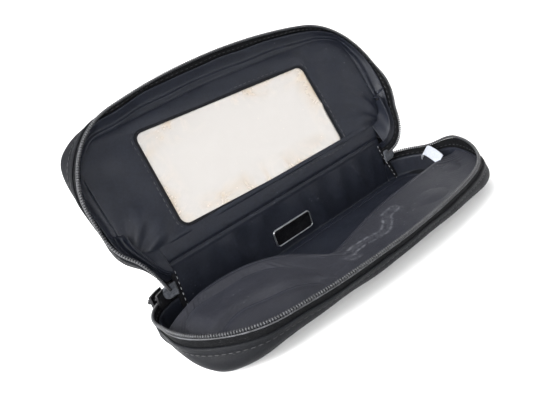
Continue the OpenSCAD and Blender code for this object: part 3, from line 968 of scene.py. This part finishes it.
@dataclass
class Shell:
    """One half of the bag's wall: the tray below the zip, or the lid above it.

    Its heights are drops, measured from the zip line towards the shell's own panel.
    """

    finishes: Finishes
    label: str
    is_lid: bool
    height: float
    seed: int
    teeth_drop: float = 0.85
    teeth_inset: float = 0.9
    cloth_edge: float = 5.0
    tape_from: float = 1.5
    tape_to: float = 11.7
    stitch_drop: float = 7.3
    rear_end: float = 0.22
    bulge: float = 2.0
    swell: float = 2.6
    tuck: float = 4.0

    @property
    def board(self) -> str:
        """The piece that stiffens the shell's panel."""
        return "lid_stiffener_board" if self.is_lid else "base_board"

    def along(self, count: int) -> Array:
        """Places from 0 to 2 at even distances along the zip line, the corner pieces' ends among them."""
        dense = np.linspace(0, 2, 4001)
        if self.is_lid:
            line = self.wall(dense, 0.0, self.teeth_inset)
        else:
            line = SIZES.base_wall(dense, SIZES.base_h, self.teeth_inset)
        run = lengths(line)
        s = np.interp(np.linspace(0, run[-1], count), run, dense)
        for cut in (self.rear_end, 2 - self.rear_end):
            s[np.abs(s - cut).argmin()] = cut
        return s

    def tucked(self, s: Array) -> Array:
        """How far the foot of the front lies in under the rim: two bells side by side along the front."""
        return self.tuck * (1.4 * bump(s, 1.2, 0.22) + 0.7 * bump(s, 0.84, 0.2))

    def closed(self, s: Array, drop: Array, inset: Array) -> Array:
        """Points of the wall with the bag shut, rippled alike in all its layers."""
        s, drop, inset = np.broadcast_arrays(*(np.asarray(x, float) for x in (s, drop, inset)))
        soft = smoothstep(drop / 4.0) * smoothstep(s / 0.1) * smoothstep((2 - s) / 0.1)
        inset = inset - soft * ripple(s * 165.0, drop * 2.0, self.seed, 34.0, 0.3)
        near_zip = 1 - smoothstep(drop / self.height)
        inset = inset - (self.swell * bump(s, 0.34, 0.11) - 1.4 * bump(s, 0.17, 0.07)) * near_zip
        near_foot = smoothstep(drop / self.height)
        inset = inset + self.tucked(s) * (1 - near_zip) * near_foot
        boxed = 1.3 * bump(s, 0.38, 0.12) + bump(s, 1.55, 0.09)
        inset = inset - self.bulge * boxed * near_foot * smoothstep((7.5 - inset) / 5.0)
        if self.is_lid:
            return SIZES.lid_wall(s, self.height - drop, inset)
        return SIZES.base_wall(s, self.height - drop, inset)

    def squared(self, s: Array, drop: Array, inset: Array) -> tuple[Array, Array]:
        """Drops and insets of a round foot, made square towards the spine's two ends.

        Insets up to 4 mm shrink to a fifth, the change fades out at 11 mm, and a bell round 5 mm
        lowers the curve by up to 1.5 mm.
        """
        near = smoothstep(1 - np.minimum(s, 2 - s) / 0.17)
        shrink = 0.8 * inset * (1 - smoothstep((inset - 4.0) / 7.0))
        return drop + near * 1.5 * bump(inset, 5.0, 3.0), inset - near * shrink

    def wall(self, s: Array, drop: Array, inset: Array) -> Array:
        """The same points with the lid open, its rear corners turned only as far as they bend."""
        points = self.closed(s, drop, inset)
        if not self.is_lid:
            return points
        in_front = np.broadcast_to(np.abs(np.asarray(s) - 1) <= 1 - self.rear_end, points.shape[:-1])
        return HINGE.open(points, np.where(in_front, 1.0, HINGE.share(points)))

    def parts(self, s: Array) -> list[tuple[str, Array]]:
        """The places along the wall for each separate piece, with the piece's own word.

        The lid's wall is in three, so that each rear corner can bend with the hinge.
        """
        if not self.is_lid:
            return [("", s)]
        first, last = (int(np.flatnonzero(s == cut)[0]) for cut in (self.rear_end, 2 - self.rear_end))
        return [("", s[first : last + 1]), ("_right_corner", s[: first + 1]), ("_left_corner", s[last:])]

    def attach(self, piece: Piece, word: str, nodes: Sequence[str]) -> None:
        """Rides a piece of the wall on its body, or leaves a rear corner piece, already bent round the
        hinge's end, unattached with its place baked into its mesh.

        Args:
            piece: the piece.
            word: which part of the wall it is.
            nodes: the CAD nodes that it stands for.
        """
        if word:
            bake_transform(piece)
        else:
            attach(piece, "lid" if self.is_lid else "base")
            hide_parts(*nodes)

    def strip(
        self,
        name: str,
        profile: Points,
        material: Material,
        thickness: float,
        slot: str,
        nodes: Sequence[str],
        columns: int = 26,
        rows: int = 420,
        square_ends: bool = False,
    ) -> None:
        """A strip of cloth round the wall: a smooth profile of drops and insets, carried along it.

        Args:
            name: the strip's name.
            profile: pairs of drop and inset, from the zip towards the panel.
            material: its finish.
            thickness: in millimetres.
            slot: not used.
            nodes: the CAD nodes that it stands for.
            columns: points across the strip.
            rows: points along it.
            square_ends: squares the foot at both ends, to meet the spine's square one.
        """
        path = smooth_path(profile, columns)
        for word, s in self.parts(self.along(rows)):
            drop, inset = path[None, :, 0], path[None, :, 1]
            if square_ends:
                drop, inset = self.squared(s[:, None], drop, inset)
            grid = self.wall(s[:, None], drop, inset)
            piece = cloth_piece(f"{self.label}_{name}{word}", grid, material, thickness)
            self.attach(piece, word, nodes)

    def seam(
        self, name: str, at: tuple[float, float], material: Material, slot: str, stitch: tuple[float, ...]
    ) -> None:
        """A row of stitches round the wall, at one drop and inset; stitch is length, gap and radius."""
        for word, s in self.parts(self.along(900)):
            path = self.wall(s, *at)
            up = path - self.wall(s, at[0] + 0.5, at[1])
            piece = stitches(f"{self.label}_{name}{word}", path, up, material, *stitch)
            self.attach(piece, word, ())

    def teeth(self) -> None:
        """One row of zip teeth: rounded loops of monofilament side by side along the zip line."""
        unit, faces = pebble((0.72, 0.5, 0.74), around=8, power=0.8)
        for word, s in self.parts(self.along(2400)):
            path = self.wall(s, self.teeth_drop, self.teeth_inset)
            up = path - self.wall(s, self.teeth_drop + 0.5, self.teeth_inset)
            run = lengths(path)
            count = int(run[-1] / SIZES.tooth_pitch)
            want = (np.arange(count) + 0.5) / count * run[-1]
            places = sample(path, run, want)
            along, side, top = path_frames(places, sample(up, run, want))
            name = f"{self.label}_zip_teeth{word}"
            piece = scatter(name, unit, faces, places, (side, along, top), self.finishes.teeth)
            self.attach(piece, word, [f"{self.label}_zip_coil"])
            cord = tube(
                f"{self.label}_zip_cord{word}", self.wall(s[::4], self.teeth_drop + 0.95, 0.45),
                up[::4], (0.28, 0.36), self.finishes.thread, sides=8,
            )
            self.attach(cord, word, ())
            log.info("%s: %d teeth", piece.name, count)

    def make_wall(self) -> None:
        """Cloth, tape, teeth and lining, and the stitches that show on them."""
        f, h, edge = self.finishes, self.height, self.cloth_edge
        fold = [
            (edge + 1.1, 0.95), (edge + 0.35, 0.8), (edge - 0.05, 0.45), (edge + 0.3, 0.1),
            (edge + 1.2, 0.15), (edge + 2.3, 0.42), (edge + 3.2, 0.2),
        ]
        if self.is_lid:
            foot = [
                (h - 2.6, 0.0), (h - 1.2, 0.45), (h - 0.45, 1.5), (h - 0.3, 3.2), (h - 0.75, 4.4),
                (h - 1.1, 4.6),
            ]
        else:
            foot = [
                (h - 8.0, 0.1), (h - 5.8, 0.9), (h - 4.2, 2.4), (h - 3.0, 4.6), (h - 1.9, 7.6),
                (h - 1.0, 10.4), (h - 1.3, 11.8),
            ]
        nodes = [f"{self.label}_outer_gusset"] + ([] if self.is_lid else ["base_gusset_foam"])
        square = not self.is_lid
        self.strip("outer_wall", fold + foot, f.nylon, 0.55, "outer_nylon", nodes, 48, square_ends=square)
        tape_end = min(self.tape_to, h - 1.2)
        tape = [(self.tape_from, 0.92), (edge, 0.95), (tape_end, 0.95)]
        self.strip("tape", tape, f.tape, 0.45, "zip_tape", [f"{self.label}_zip_tape"], columns=14)
        if self.is_lid:
            inner = [
                (edge + 2.0, 1.7), (edge + 0.4, 1.75), (edge - 0.2, 2.1), (edge + 0.5, 2.5),
                (edge + 1.8, 3.0), (h - 4.6, 3.8),
                (h - 4.3, 4.6), (h - 4.6, 5.6), (h - 3.6, 6.4), (h - 3.3, 7.6),
            ]
        else:
            inner = [
                (edge + 2.0, 1.7), (edge + 0.4, 1.75), (edge - 0.2, 2.1), (edge + 0.5, 2.5), (edge + 3, 2.6),
                (h - 4.6, 2.7), (h - 3.2, 3.2), (h - 2.75, 4.6), (h - 2.7, 6.5),
            ]
        nodes = [f"{self.label}_lining_gusset"]
        self.strip("lining_wall", inner, f.satin, 0.35, "lining_satin", nodes, columns=36)
        self.seam("topstitch", (self.stitch_drop, 0.0), f.dark_thread, "outer_nylon", (2.0, 0.8, 0.17))
        self.seam("lining_stitch", (edge + 1.2, 2.45), f.dark_thread, "lining_satin", (2.2, 1.0, 0.16))
        self.seam("tape_stitch", (edge - 1.2, 1.25), f.thread, "zip_tape", (1.6, 1.2, 0.12))
        self.teeth()

    def panel_rim(self, inset: float, count: int, depth: float) -> Array:
        """A closed loop round the shell's panel: the wall's outline, and straight along the spine.

        Args:
            inset: how far in from the wall's foot.
            count: how many points it has.
            depth: how far the loop lies inside the panel's outer face.

        Returns:
            Points on the shut bag, anticlockwise from above.
        """
        s = np.linspace(2, 0, 600)
        wall = SIZES.outline(np.zeros_like(s), s, inset + self.tucked(s))
        z = SIZES.top_z - depth if self.is_lid else depth
        return even_path(raised(np.concatenate([wall, wall[:1]]), z), count + 1)[:-1]


# ---------------------------------------------------------------- the tray


@dataclass
class Tray:
    """The base: its wall, bottom, lining floor, slip pocket and care label."""

    finishes: Finishes
    shell: Shell
    # The pocket's free edge, from right to left: nearly straight, a dip, then a hump.
    mouth: Points = (
        (87, 1, 12.5), (80, 0.5, 13.4), (60, -0.5, 13.6), (40, -1.5, 13.4), (22, -3.5, 13), (4, -7.5, 12.4),
        (-8, -10.5, 12), (-15, -10.5, 12), (-20, -4, 13.2), (-28, 7, 15.2), (-39, 14.5, 16.4),
        (-52, 18.5, 16.6), (-66, 19, 16), (-78, 16, 14.6), (-87, 12.5, 13),
    )
    # The crease across the hump, and the scuff on the pocket's right part.
    crease: Points = (
        (-80, -13), (-74, -10.5), (-66, -8.5), (-58, -9.5), (-47, -14.5), (-36, -20), (-29, -28.5),
    )
    scuff: Points = (
        (-12, -23), (-13, -19.5), (-6, -17.5), (3, -18.5), (10, -20), (17, -16), (21, -12), (28, -11),
    )
    # The care label's middle line, from its seam to its free end.
    ribbon: Points = (
        (87.2, 16.4, 12.5), (86.8, 15.4, 14.9), (85.4, 12.4, 16), (83, 8, 16), (80.5, 2.5, 14.9),
        (79, -1, 13.4),
    )
    pocket_rows: int = 330
    pocket_columns: int = 116

    def panels(self) -> None:
        """The bottom, with a rolled seam round it, and the lining's floor."""
        middle = np.array([0.0, 0.0, 0.0])

        def bottom(grid: Array, share: Array) -> Array:
            """Rolled up at the seam, nearly flat inside, with shallow ripples."""
            edge = 0.6 * np.exp(-share / 0.012)
            waves = 0.06 * (1 + ripple(grid[..., 0], grid[..., 1], 3, 40, 0.5))
            return edge + (0.3 - grid[..., 2]) * (1 - np.exp(-share / 0.08)) + waves

        rim = self.shell.panel_rim(11.2, 420, 1.3)
        piece = thicken(disc("base_bottom_cloth", rim, middle, bottom, 90, self.finishes.nylon), 0.5)
        fit_piece(piece, "base", "outer_nylon", "base_outer_bottom")
        plan = self.shell.panel_rim(11.0, 300, 0)[:, :2]
        layers = [(0.6, 0.0), (0.0, 0.3), (0.0, 0.8), (0.4, 1.1)]
        board = moulded("base_board", plan, layers, (0, 0, 1.1), np.eye(3), self.finishes.board)
        fit_piece(board, "base", "stiffener_board", "base_stiffener_board")

        def floor(grid: Array, share: Array) -> Array:
            """Shallow ripples that fade to nothing at the wall."""
            return np.abs(ripple(grid[..., 0], grid[..., 1], 5, 30, 0.3)) * smoothstep(share / 0.2)

        rim = self.shell.panel_rim(5.6, 420, 2.55)
        middle = np.array([0.0, 0.0, 2.55])
        piece = thicken(disc("base_lining_floor_cloth", rim, middle, floor, 70, self.finishes.satin), 0.3)
        fit_piece(piece, "base", "lining_satin", "base_lining_floor")

    def pocket_grid(self) -> Array:
        """The pocket's panel: lines from its free edge to the wall, humped, creased and rippled.

        Height is a straight line from edge to wall, plus a half sine wave that is highest over
        the left hump, less a groove along the crease, with a low ridge in front of it.
        """
        edge = smooth_path(self.mouth, self.pocket_rows)
        s = np.linspace(0.365, 1.765, 500)
        sewn = even_path(self.shell.closed(s, 5.4, 2.75), self.pocket_rows)
        v = np.linspace(0, 1, self.pocket_columns)
        grid = edge[:, None] * (1 - v[None, :, None]) + sewn[:, None] * v[None, :, None]
        x, y = grid[..., 0], grid[..., 1]
        hump = 1.2 + 2.0 * smoothstep((-x - 5) / 45)
        rise = hump * np.sin(math.pi * v)[None, :] ** 0.8 * smoothstep((89 - np.abs(x)) / 16)
        away = away_from(grid, smooth_path(self.crease, 160))
        groove = -1.3 * np.exp(-((away / 2.2) ** 2)) + 0.3 * bump(away, 5.5, 3.5) * (x < -30)
        folds = ripple(x, y, 11, 28, 0.45) * np.sin(math.pi * v)[None, :]
        roll = -0.7 * np.exp(-v * 28)[None, :]
        grid[..., 2] += rise + groove * np.sin(math.pi * v)[None, :] ** 0.3 + folds + roll
        return grid

    def pocket(self) -> None:
        """The slip pocket's panel, hung as cloth between its seams, and the hem along its free edge."""
        grid = self.pocket_grid()
        faces = grid_faces(*grid.shape[:2])
        piece = put_mesh("pocket_cloth", grid, faces, self.finishes.pocket, grid_uv(grid))
        held = np.zeros(grid.shape[:2])
        held[:, -3:] = held[:3] = held[-3:] = 1.0
        held[:, :12] = np.linspace(1.0, 0.1, 12)
        settle(piece, held.ravel(), frames=16, most=3.0, gravity=0.25)
        places = mesh_points(piece.data).astype(float) / MM
        away = away_from(places, smooth_path(self.scuff, 120))
        worn = bump(away, 2.1, 0.55) + 0.3 * bump(away, 0.0, 2.4)
        rub = piece.data.attributes.new("rub", "FLOAT", "POINT")
        rub.data.foreach_set("value", worn.astype(np.float32))
        thicken(piece, 0.4)
        fit_piece(piece, "base", "pocket_satin", "pocket_panel")
        hem_path = even_path(places.reshape(grid.shape)[:, 0], 200)
        up = np.tile([0.0, 0.0, 1.0], (200, 1))
        hem = tube("pocket_hem_roll", hem_path, up, (0.95, 0.7), self.finishes.pocket)
        fit_piece(hem, "base", "pocket_satin", "pocket_hem")

    def care_label(self) -> None:
        """A ribbon label sewn in the right side's seam, which curls out over the pocket's edge."""
        path = smooth_path(self.ribbon, 30)
        across = np.array([-0.86, 0.0, -0.5])
        v = np.linspace(-3.2, 3.2, 12)
        grid = path[:, None] + v[None, :, None] * across
        grid[..., 2] += 0.5 * np.cos(v / 3.2 * 1.3)[None, :] * np.linspace(0, 1, 30)[:, None]
        piece = cloth_piece("care_label_ribbon", grid, self.finishes.label, 0.25)
        fit_piece(piece, "base", "care_label", "care_label")

    def build(self) -> None:
        """Makes every piece of the tray."""
        self.shell.make_wall()
        self.panels()
        self.pocket()
        self.care_label()


# ---------------------------------------------------------------- the spine


@dataclass
class Spine:
    """The padded back wall: cloths that run over the hinge, bindings, tabs and nameplate."""

    finishes: Finishes
    half: float = 70.2
    plate_x: float = -2.2
    plate_z: float = 11.4
    plate_w: float = 24.8
    plate_h: float = 9.2
    plate_face: float = 31.75
    # The lining's four soft folds: where each is along the spine, and its width.
    folds: Points = ((18.5, 4.5), (35, 5), (51, 4.5), (-37, 6))
    # How far the right and the left binding lean outwards for each millimetre down.
    lean_right: float = 0.3
    lean_left: float = 0.06

    def over_hinge(
        self, name: str, path: Points, folds: float, material: Material, node: str
    ) -> Piece:
        """A cloth from the tray's floor, up the spine and over the hinge to the open lid.

        Args:
            name: the piece's name.
            path: its y and z in section, with the lid open.
            folds: the height of its soft upright folds.
            material: its finish.
            node: the CAD node that it stands for.

        Returns:
            The new object.
        """
        line = smooth_path(path, 110)
        x = np.linspace(-self.half, self.half, 300)[:, None]
        z = line[None, :, 1]
        y = line[None, :, 0] + 0 * x
        height = np.clip((z - 3) / 24, 0, 1.4)
        bends = sum(bump(x + 0.35 * (z - 12), at, wide) for at, wide in self.folds)
        wave = 1.3 * bends + ripple(x, z * 0.35, 21, 17, 0.5) - 0.3
        lean = np.sin(math.pi * np.clip(height, 0, 1)) ** 0.7 * smoothstep((68 - np.abs(x)) / 8)
        near_plate = bump(x, self.plate_x, 15) * bump(z, self.plate_z, 8)
        y = y - folds * lean * (0.6 + wave) * (1 - near_plate)
        grid = np.stack([x + 0 * z, y, z + 0 * x], axis=-1)
        piece = cloth_piece(name, grid, material, 0.45)
        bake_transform(piece)
        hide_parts(node)
        return piece

    def cloths(self) -> None:
        """The outer cloth and the lining."""
        outside = [
            (22, 1.1), (25, 0.75), (31, 0.6), (33.4, 0.9), (34.15, 2.4), (34.25, 6), (34.25, 14), (34.25, 26),
            (34.4, 29), (34.75, 31), (35.4, 33), (36.4, 35.5), (37.6, 38.6),
        ]
        nylon, satin = self.finishes.nylon, self.finishes.satin
        self.over_hinge("spine_outer_cloth", outside, -0.25, nylon, "spine_outer")
        inside = [
            (27.2, 2.75), (30.6, 2.75), (31.7, 3.4), (31.9, 5), (31.9, 10), (31.8, 20), (31.6, 26.5),
            (31.5, 28.6), (32.25, 29.8), (31.6, 31.0), (31.7, 33), (32.3, 36), (33.1, 38.4), (33.5, 39.4),
        ]
        self.over_hinge("spine_lining_cloth", inside, 0.8, satin, "spine_lining")

    def trim(self) -> None:
        """The binding over each end of the spine, with its pale thread, and the tab over each zip end."""
        for side, word, lean in ((-1, "left", self.lean_left), (1, "right", self.lean_right)):
            z = np.linspace(3, 25, 40)
            across = 69.0 + (27.0 - z) * lean
            bend = 18.1 - np.sqrt(18.1**2 - np.clip(across - SIZES.spine_w / 2, 0, None) ** 2)
            path = np.stack([side * across, 31.5 - bend - 0.2 * np.sin(z / 4.0), z], axis=-1)
            up = np.tile([0.0, -1.0, 0.0], (40, 1))
            strip = tube(f"spine_binding_{word}_ribbon", path, up, (1.5, 0.4), self.finishes.binding)
            fit_piece(strip, "base", "binding", f"spine_binding_{word}")
            seam = path + [-side * 0.9, -0.38, 0]
            name = f"spine_binding_{word}_thread"
            sewn = stitches(name, seam, up, self.finishes.pale_thread, 1.5, 0.9, 0.14)
            fit_piece(sewn, "base", "binding")
            a = np.linspace(-math.pi / 2, math.pi / 2, 24)
            tip = np.stack([0.5 + 3.25 * np.cos(a), 3.25 * np.sin(a)], axis=-1)
            square = np.array([[-3.4, 3.25], [-3.75, 2.9], [-3.75, -2.9], [-3.4, -3.25]])
            plan = np.vstack([tip, square])
            layers = [(0.3, 0.0), (0.05, 0.2), (0.0, 0.5), (0.08, 0.8), (0.35, 1.0), (0.6, 1.04)]
            tab = moulded(
                f"zip_end_tab_{word}_webbing", plan, layers, (side * 74.2, 30.5, 18.6 - 0.4 * side),
                ((side, 0, 0), (0, 0, 1), (0, -1, 0)), self.finishes.webbing,
            )
            fit_piece(tab, "base", "end_tab", f"zip_end_tab_{word}")

    def nameplate(self) -> None:
        """A plain plate: a nickel frame with a raised, rounded rim round a field of black enamel."""
        axes = ((1, 0, 0), (0, 0, 1), (0, -1, 0))
        origin = (self.plate_x, self.plate_face, self.plate_z)
        outline = rounded_rectangle(self.plate_w, self.plate_h, 2.0, 120)
        frame_layers = [
            (0.3, 0.0), (0.05, 0.15), (0.0, 0.4), (0.0, 0.9), (0.12, 1.12), (0.35, 1.2), (0.55, 1.12),
            (0.62, 0.98), (0.62, 0.8),
        ]
        plate = moulded("nameplate_frame_nickel", outline, frame_layers, origin, axes, self.finishes.nickel)
        fit_piece(plate, "base", "nameplate_metal", "nameplate_frame")
        enamel_layers = [(0.64, 0.82), (0.64, 0.98), (0.8, 1.05), (1.3, 1.09), (2.2, 1.1)]
        enamel = moulded("nameplate_enamel_field", outline, enamel_layers, origin, axes, self.finishes.enamel)
        fit_piece(enamel, "base", "nameplate_enamel", "nameplate_enamel")

    def build(self) -> None:
        """Makes every piece of the spine."""
        self.cloths()
        self.trim()
        self.nameplate()


# ---------------------------------------------------------------- the lid


@dataclass
class Lid:
    """The lid: its wall, padded outer panel, lining panel with a window, and the mirror behind it."""

    finishes: Finishes
    shell: Shell
    # The window has shifted and turned a little in its soft panel.
    window_w: float = 103.0
    window_h: float = 48.0
    window_x: float = -2.9
    window_y: float = 3.8
    window_turn: float = 1.9

    def opening(self, grow: float, count: int) -> Array:
        """The window's outline on the shut bag, grown on all sides: a rounded rectangle, turned."""
        width, height = self.window_w + 2 * grow, self.window_h + 2 * grow
        loop = rounded_rectangle(width, height, SIZES.mirror_r + grow, count)
        a = math.radians(self.window_turn)
        turned = loop @ np.array([[math.cos(a), math.sin(a)], [-math.sin(a), math.cos(a)]])
        return turned + [self.window_x, self.window_y]

    def outer_panel(self) -> None:
        """The padded top panel: crowned, dropping into the seam all round."""

        def crown(grid: Array, share: Array) -> Array:
            """Rises quickly from the seam and then slowly to the middle, with shallow ripples."""
            waves = smoothstep(share / 0.2) * ripple(grid[..., 0], grid[..., 1], 7, 45, 0.2)
            return 1.5 * (1 - np.exp(-share / 0.05)) + 0.9 * smoothstep(share) + waves

        rim = self.shell.panel_rim(4.4, 420, 1.1)
        middle = np.array([0.0, 0.0, SIZES.top_z - 1.1])
        piece = disc("lid_outer_cloth", rim, middle, crown, 90, self.finishes.nylon)
        reshape_piece(piece, HINGE.open)
        thicken(piece, 0.5)
        fit_piece(piece, "lid", "outer_nylon", "lid_outer_panel")

    def lining_panel(self) -> None:
        """The lining with the mirror's window: full between seam and window, puckered at the hinge."""
        count = 520
        rim = self.shell.panel_rim(5.2, count, 3.9)
        window = self.opening(0.0, count)
        turn = np.arctan2(window[:, 1] - self.window_y, window[:, 0] - self.window_x)
        start = math.atan2(rim[0, 1] - self.window_y, rim[0, 0] - self.window_x)
        window = np.roll(window, -int(np.abs(np.angle(np.exp(1j * (turn - start)))).argmin()), axis=0)
        inner = raised(window, SIZES.top_z - 3.55)

        def full(grid: Array, share: Array) -> Array:
            """A half sine of fullness towards the inside, with ripples, and puckers at the hinge."""
            x, y = grid[..., 0], grid[..., 1]
            belly = np.sin(math.pi * share) ** 0.7
            corner = np.exp(-(((np.abs(x) - 76) / 14) ** 2 + ((y - 24) / 16) ** 2))
            fan = np.arctan2(y - 34, 86 - np.abs(x))
            return -belly * (0.75 + ripple(x, y, 9, 24, 0.32) + corner * (0.7 + 1.2 * np.cos(fan * 13.0)))

        piece = disc("lid_lining_cloth", rim, inner, full, 56, self.finishes.satin)
        reshape_piece(piece, HINGE.open)
        thicken(piece, 0.35)
        fit_piece(piece, "lid", "lining_satin", "lid_lining_panel")

    def gore(
        self, name: str, panel: Array, edge: tuple[float, float], material: Material
    ) -> None:
        """The loose cloth at each end of the hinge, between the lid's panel and the edge of its wall.

        Args:
            name: the pieces' name.
            panel: the panel's edge on the shut bag, for the right side, from the spine forwards.
            edge: the drop and the inset of the wall's edge that it is sewn to.
            material: its finish.
        """
        s = np.linspace(0.0, 0.2, len(panel))
        wall = self.shell.wall(s, *edge)
        flap = HINGE.open(panel)
        v = np.linspace(0, 1, 18)[None, :, None]
        grid = wall[:, None] * (1 - v) + flap[:, None] * v
        along = np.linspace(0, 1, len(panel))[:, None]
        folds = 0.9 * np.sin(math.pi * v[..., 0]) * np.sin(along * 9.0) * (1 - along)
        grid = grid + grid_normals(grid) * folds[..., None]
        for word, side in (("right", 1.0), ("left", -1.0)):
            piece = cloth_piece(f"{name}_{word}", grid * [side, 1, 1], material, 0.35)
            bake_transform(piece)

    def gores(self) -> None:
        """The lining's gores and the outer cloth's."""
        s = np.linspace(0.0, 0.2, 40)
        f, h = self.finishes, self.shell.height
        for name, inset, depth, edge, material, slot in (
            ("lid_lining_gore", 6.0, 3.9, (h - 3.3, 7.4), f.satin, "lining_satin"),
            ("lid_outer_gore", 4.9, 0.6, (h - 0.4, 3.4), f.nylon, "outer_nylon"),
        ):
            plan = SIZES.outline(np.zeros(40), s, np.full(40, inset))
            self.gore(name, raised(plan, SIZES.top_z - depth), edge, material)

    def window(self) -> None:
        """The binding round the window, and the stitches outside it."""
        y, z = self.window_y, SIZES.top_z - 3.75
        loop = self.opening(0.1, 400)
        path = HINGE.open(raised(np.vstack([loop, loop[:1]]), z))
        inwards = HINGE.open(np.array([[0, y, z - 1.0]])) - HINGE.open(np.array([[0, y, z]]))
        up = np.repeat(inwards, 401, axis=0)
        ring = tube("mirror_window_piping", path, up, (0.85, 0.42), self.finishes.binding)
        fit_piece(ring, "lid", "binding", "mirror_window_binding")
        path = HINGE.open(raised(self.opening(2.0, 400), z - 0.35))
        sewn = stitches("mirror_window_stitch", path, up[:400], self.finishes.dark_thread, 2.0, 0.9, 0.16)
        fit_piece(sewn, "lid", "binding")

    def mirror(self) -> None:
        """The glass keeps the CAD's shape and takes the stained finish."""
        x, y, z = self.window_x, self.window_y, SIZES.top_z - 3.3
        middle, across = HINGE.open(np.array([[x, y, z], [x, y - 1, z]]))
        up = across - middle
        finish = StainedMirror(
            "silvered_glass_powder_stained", tuple(middle * MM), (1.0, 0.0, 0.0), tuple(up),
            (self.window_w / 2 * MM, self.window_h / 2 * MM),
        ).make()
        paint_node("mirror_glass", finish)

    def build(self) -> None:
        """Makes every piece of the lid."""
        self.shell.make_wall()
        self.outer_panel()
        self.lining_panel()
        self.gores()
        self.window()
        self.mirror()


def paint_node(node: str, material: Material) -> None:
    """Gives a carried-over CAD node its finish."""
    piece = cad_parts[node]
    if not piece.material_slots:
        piece.data.materials.append(material)
    for slot in piece.material_slots:
        slot.material = material


# ---------------------------------------------------------------- the studio


@dataclass
class Studio:
    """A seamless pale floor that curves up all round, soft lamps, and the camera."""

    paper: Material
    eye: tuple[float, float, float] = (-143.2, -190.4, 121.85)
    look: tuple[float, float, float] = (0.48489, 0.80828, -0.33403)
    up: tuple[float, float, float] = (0.45219, 0.09521, 0.88682)
    lens: float = 37.4

    def camera(self) -> None:
        """The camera, whose axes come from the way it looks and its own up."""
        back = -np.asarray(self.look) / np.linalg.norm(self.look)
        right = np.cross(self.up, back)
        right /= np.linalg.norm(right)
        upward = np.cross(back, right)
        data = bpy.data.cameras.new("camera")
        data.lens = self.lens
        data.sensor_width = 36.0
        data.clip_start = 0.01
        camera = bpy.data.objects.new("camera", data)
        turn = np.eye(4)
        turn[:3] = np.stack([right, upward, back, np.asarray(self.eye) * MM], axis=1)
        camera.matrix_world = Matrix(turn.tolist())
        bpy.context.scene.collection.objects.link(camera)
        bpy.context.scene.camera = camera

    def floor(self) -> None:
        """A disc that is flat to its middle radius and then rises as a quarter of an ellipse."""
        climb = np.linspace(0.05, math.pi / 2, 30)
        r = np.concatenate([np.linspace(1, 450, 24), 450 + 750 * np.sin(climb)])
        z = np.concatenate([np.zeros(24), 900 * (1 - np.cos(climb))])
        a = np.linspace(0, 2 * math.pi, 96, endpoint=False)[:, None]
        grid = np.stack([r * np.cos(a), r * np.sin(a), z + 0 * a], axis=-1)
        faces = grid_faces(*grid.shape[:2], close_rows=True)[:, ::-1].tolist()
        middle = [i * len(r) for i in range(len(a))]
        put_mesh("studio_floor", grid, faces + [middle], self.paper, grid[..., :2] * MM)

    def lamp(self, name: str, place: Sequence[float], size: float, power: float) -> None:
        """A square soft box that faces the bag.

        Args:
            name: its name.
            place: where it stands, in metres.
            size: its side, in metres.
            power: in watts.
        """
        data = bpy.data.lights.new(name, "AREA")
        data.size = size
        data.energy = power
        lamp = bpy.data.objects.new(name, data)
        lamp.location = place
        lamp.rotation_euler = (Vector((0, 0, 0.03)) - Vector(place)).to_track_quat("-Z", "Y").to_euler()
        bpy.context.scene.collection.objects.link(lamp)

    def build(self) -> None:
        """Makes the studio."""
        self.camera()
        self.floor()
        self.lamp("key", (-0.75, 0.0, 0.42), 0.4, 15.0)
        self.lamp("front_fill", (-0.5, -0.7, 0.3), 0.5, 8.0)
        self.lamp("top", (-0.1, 0.15, 0.9), 0.6, 5.0)
        world = bpy.data.worlds.new("studio")
        world.use_nodes = True
        world.node_tree.nodes["Background"].inputs["Color"].default_value = (1.0, 1.0, 1.0, 1.0)
        world.node_tree.nodes["Background"].inputs["Strength"].default_value = 0.8
        bpy.context.scene.world = world
        bpy.context.scene.view_settings.view_transform = "Standard"


def dress_hidden(finishes: Finishes) -> None:
    """Finishes the CAD nodes that keep their own shape: padding, boards, washer, slider and pull."""
    for node in ("spine_foam", "lid_foam_pad"):
        paint_node(node, finishes.foam)
    paint_node("lid_stiffener_board", finishes.board)
    paint_node("mirror_card", finishes.card)
    paint_node("nameplate_washer", finishes.nickel)
    for node in ("slider_plate_outer", "slider_plate_inner", "slider_post", "slider_loop", "pull_tab"):
        paint_node(node, finishes.slider)


def main() -> None:
    """Builds the studio and then the bag, part by part."""
    logging.basicConfig(level=logging.INFO, format="%(message)s")
    finishes = Finishes()
    Studio(finishes.paper).build()
    Tray(finishes, Shell(finishes, "base", False, SIZES.base_h, 31)).build()
    Spine(finishes).build()
    Lid(finishes, Shell(finishes, "lid", True, SIZES.lid_h, 31, swell=1.5, tuck=0.0)).build()
    dress_hidden(finishes)


if __name__ == "__main__":
    main()
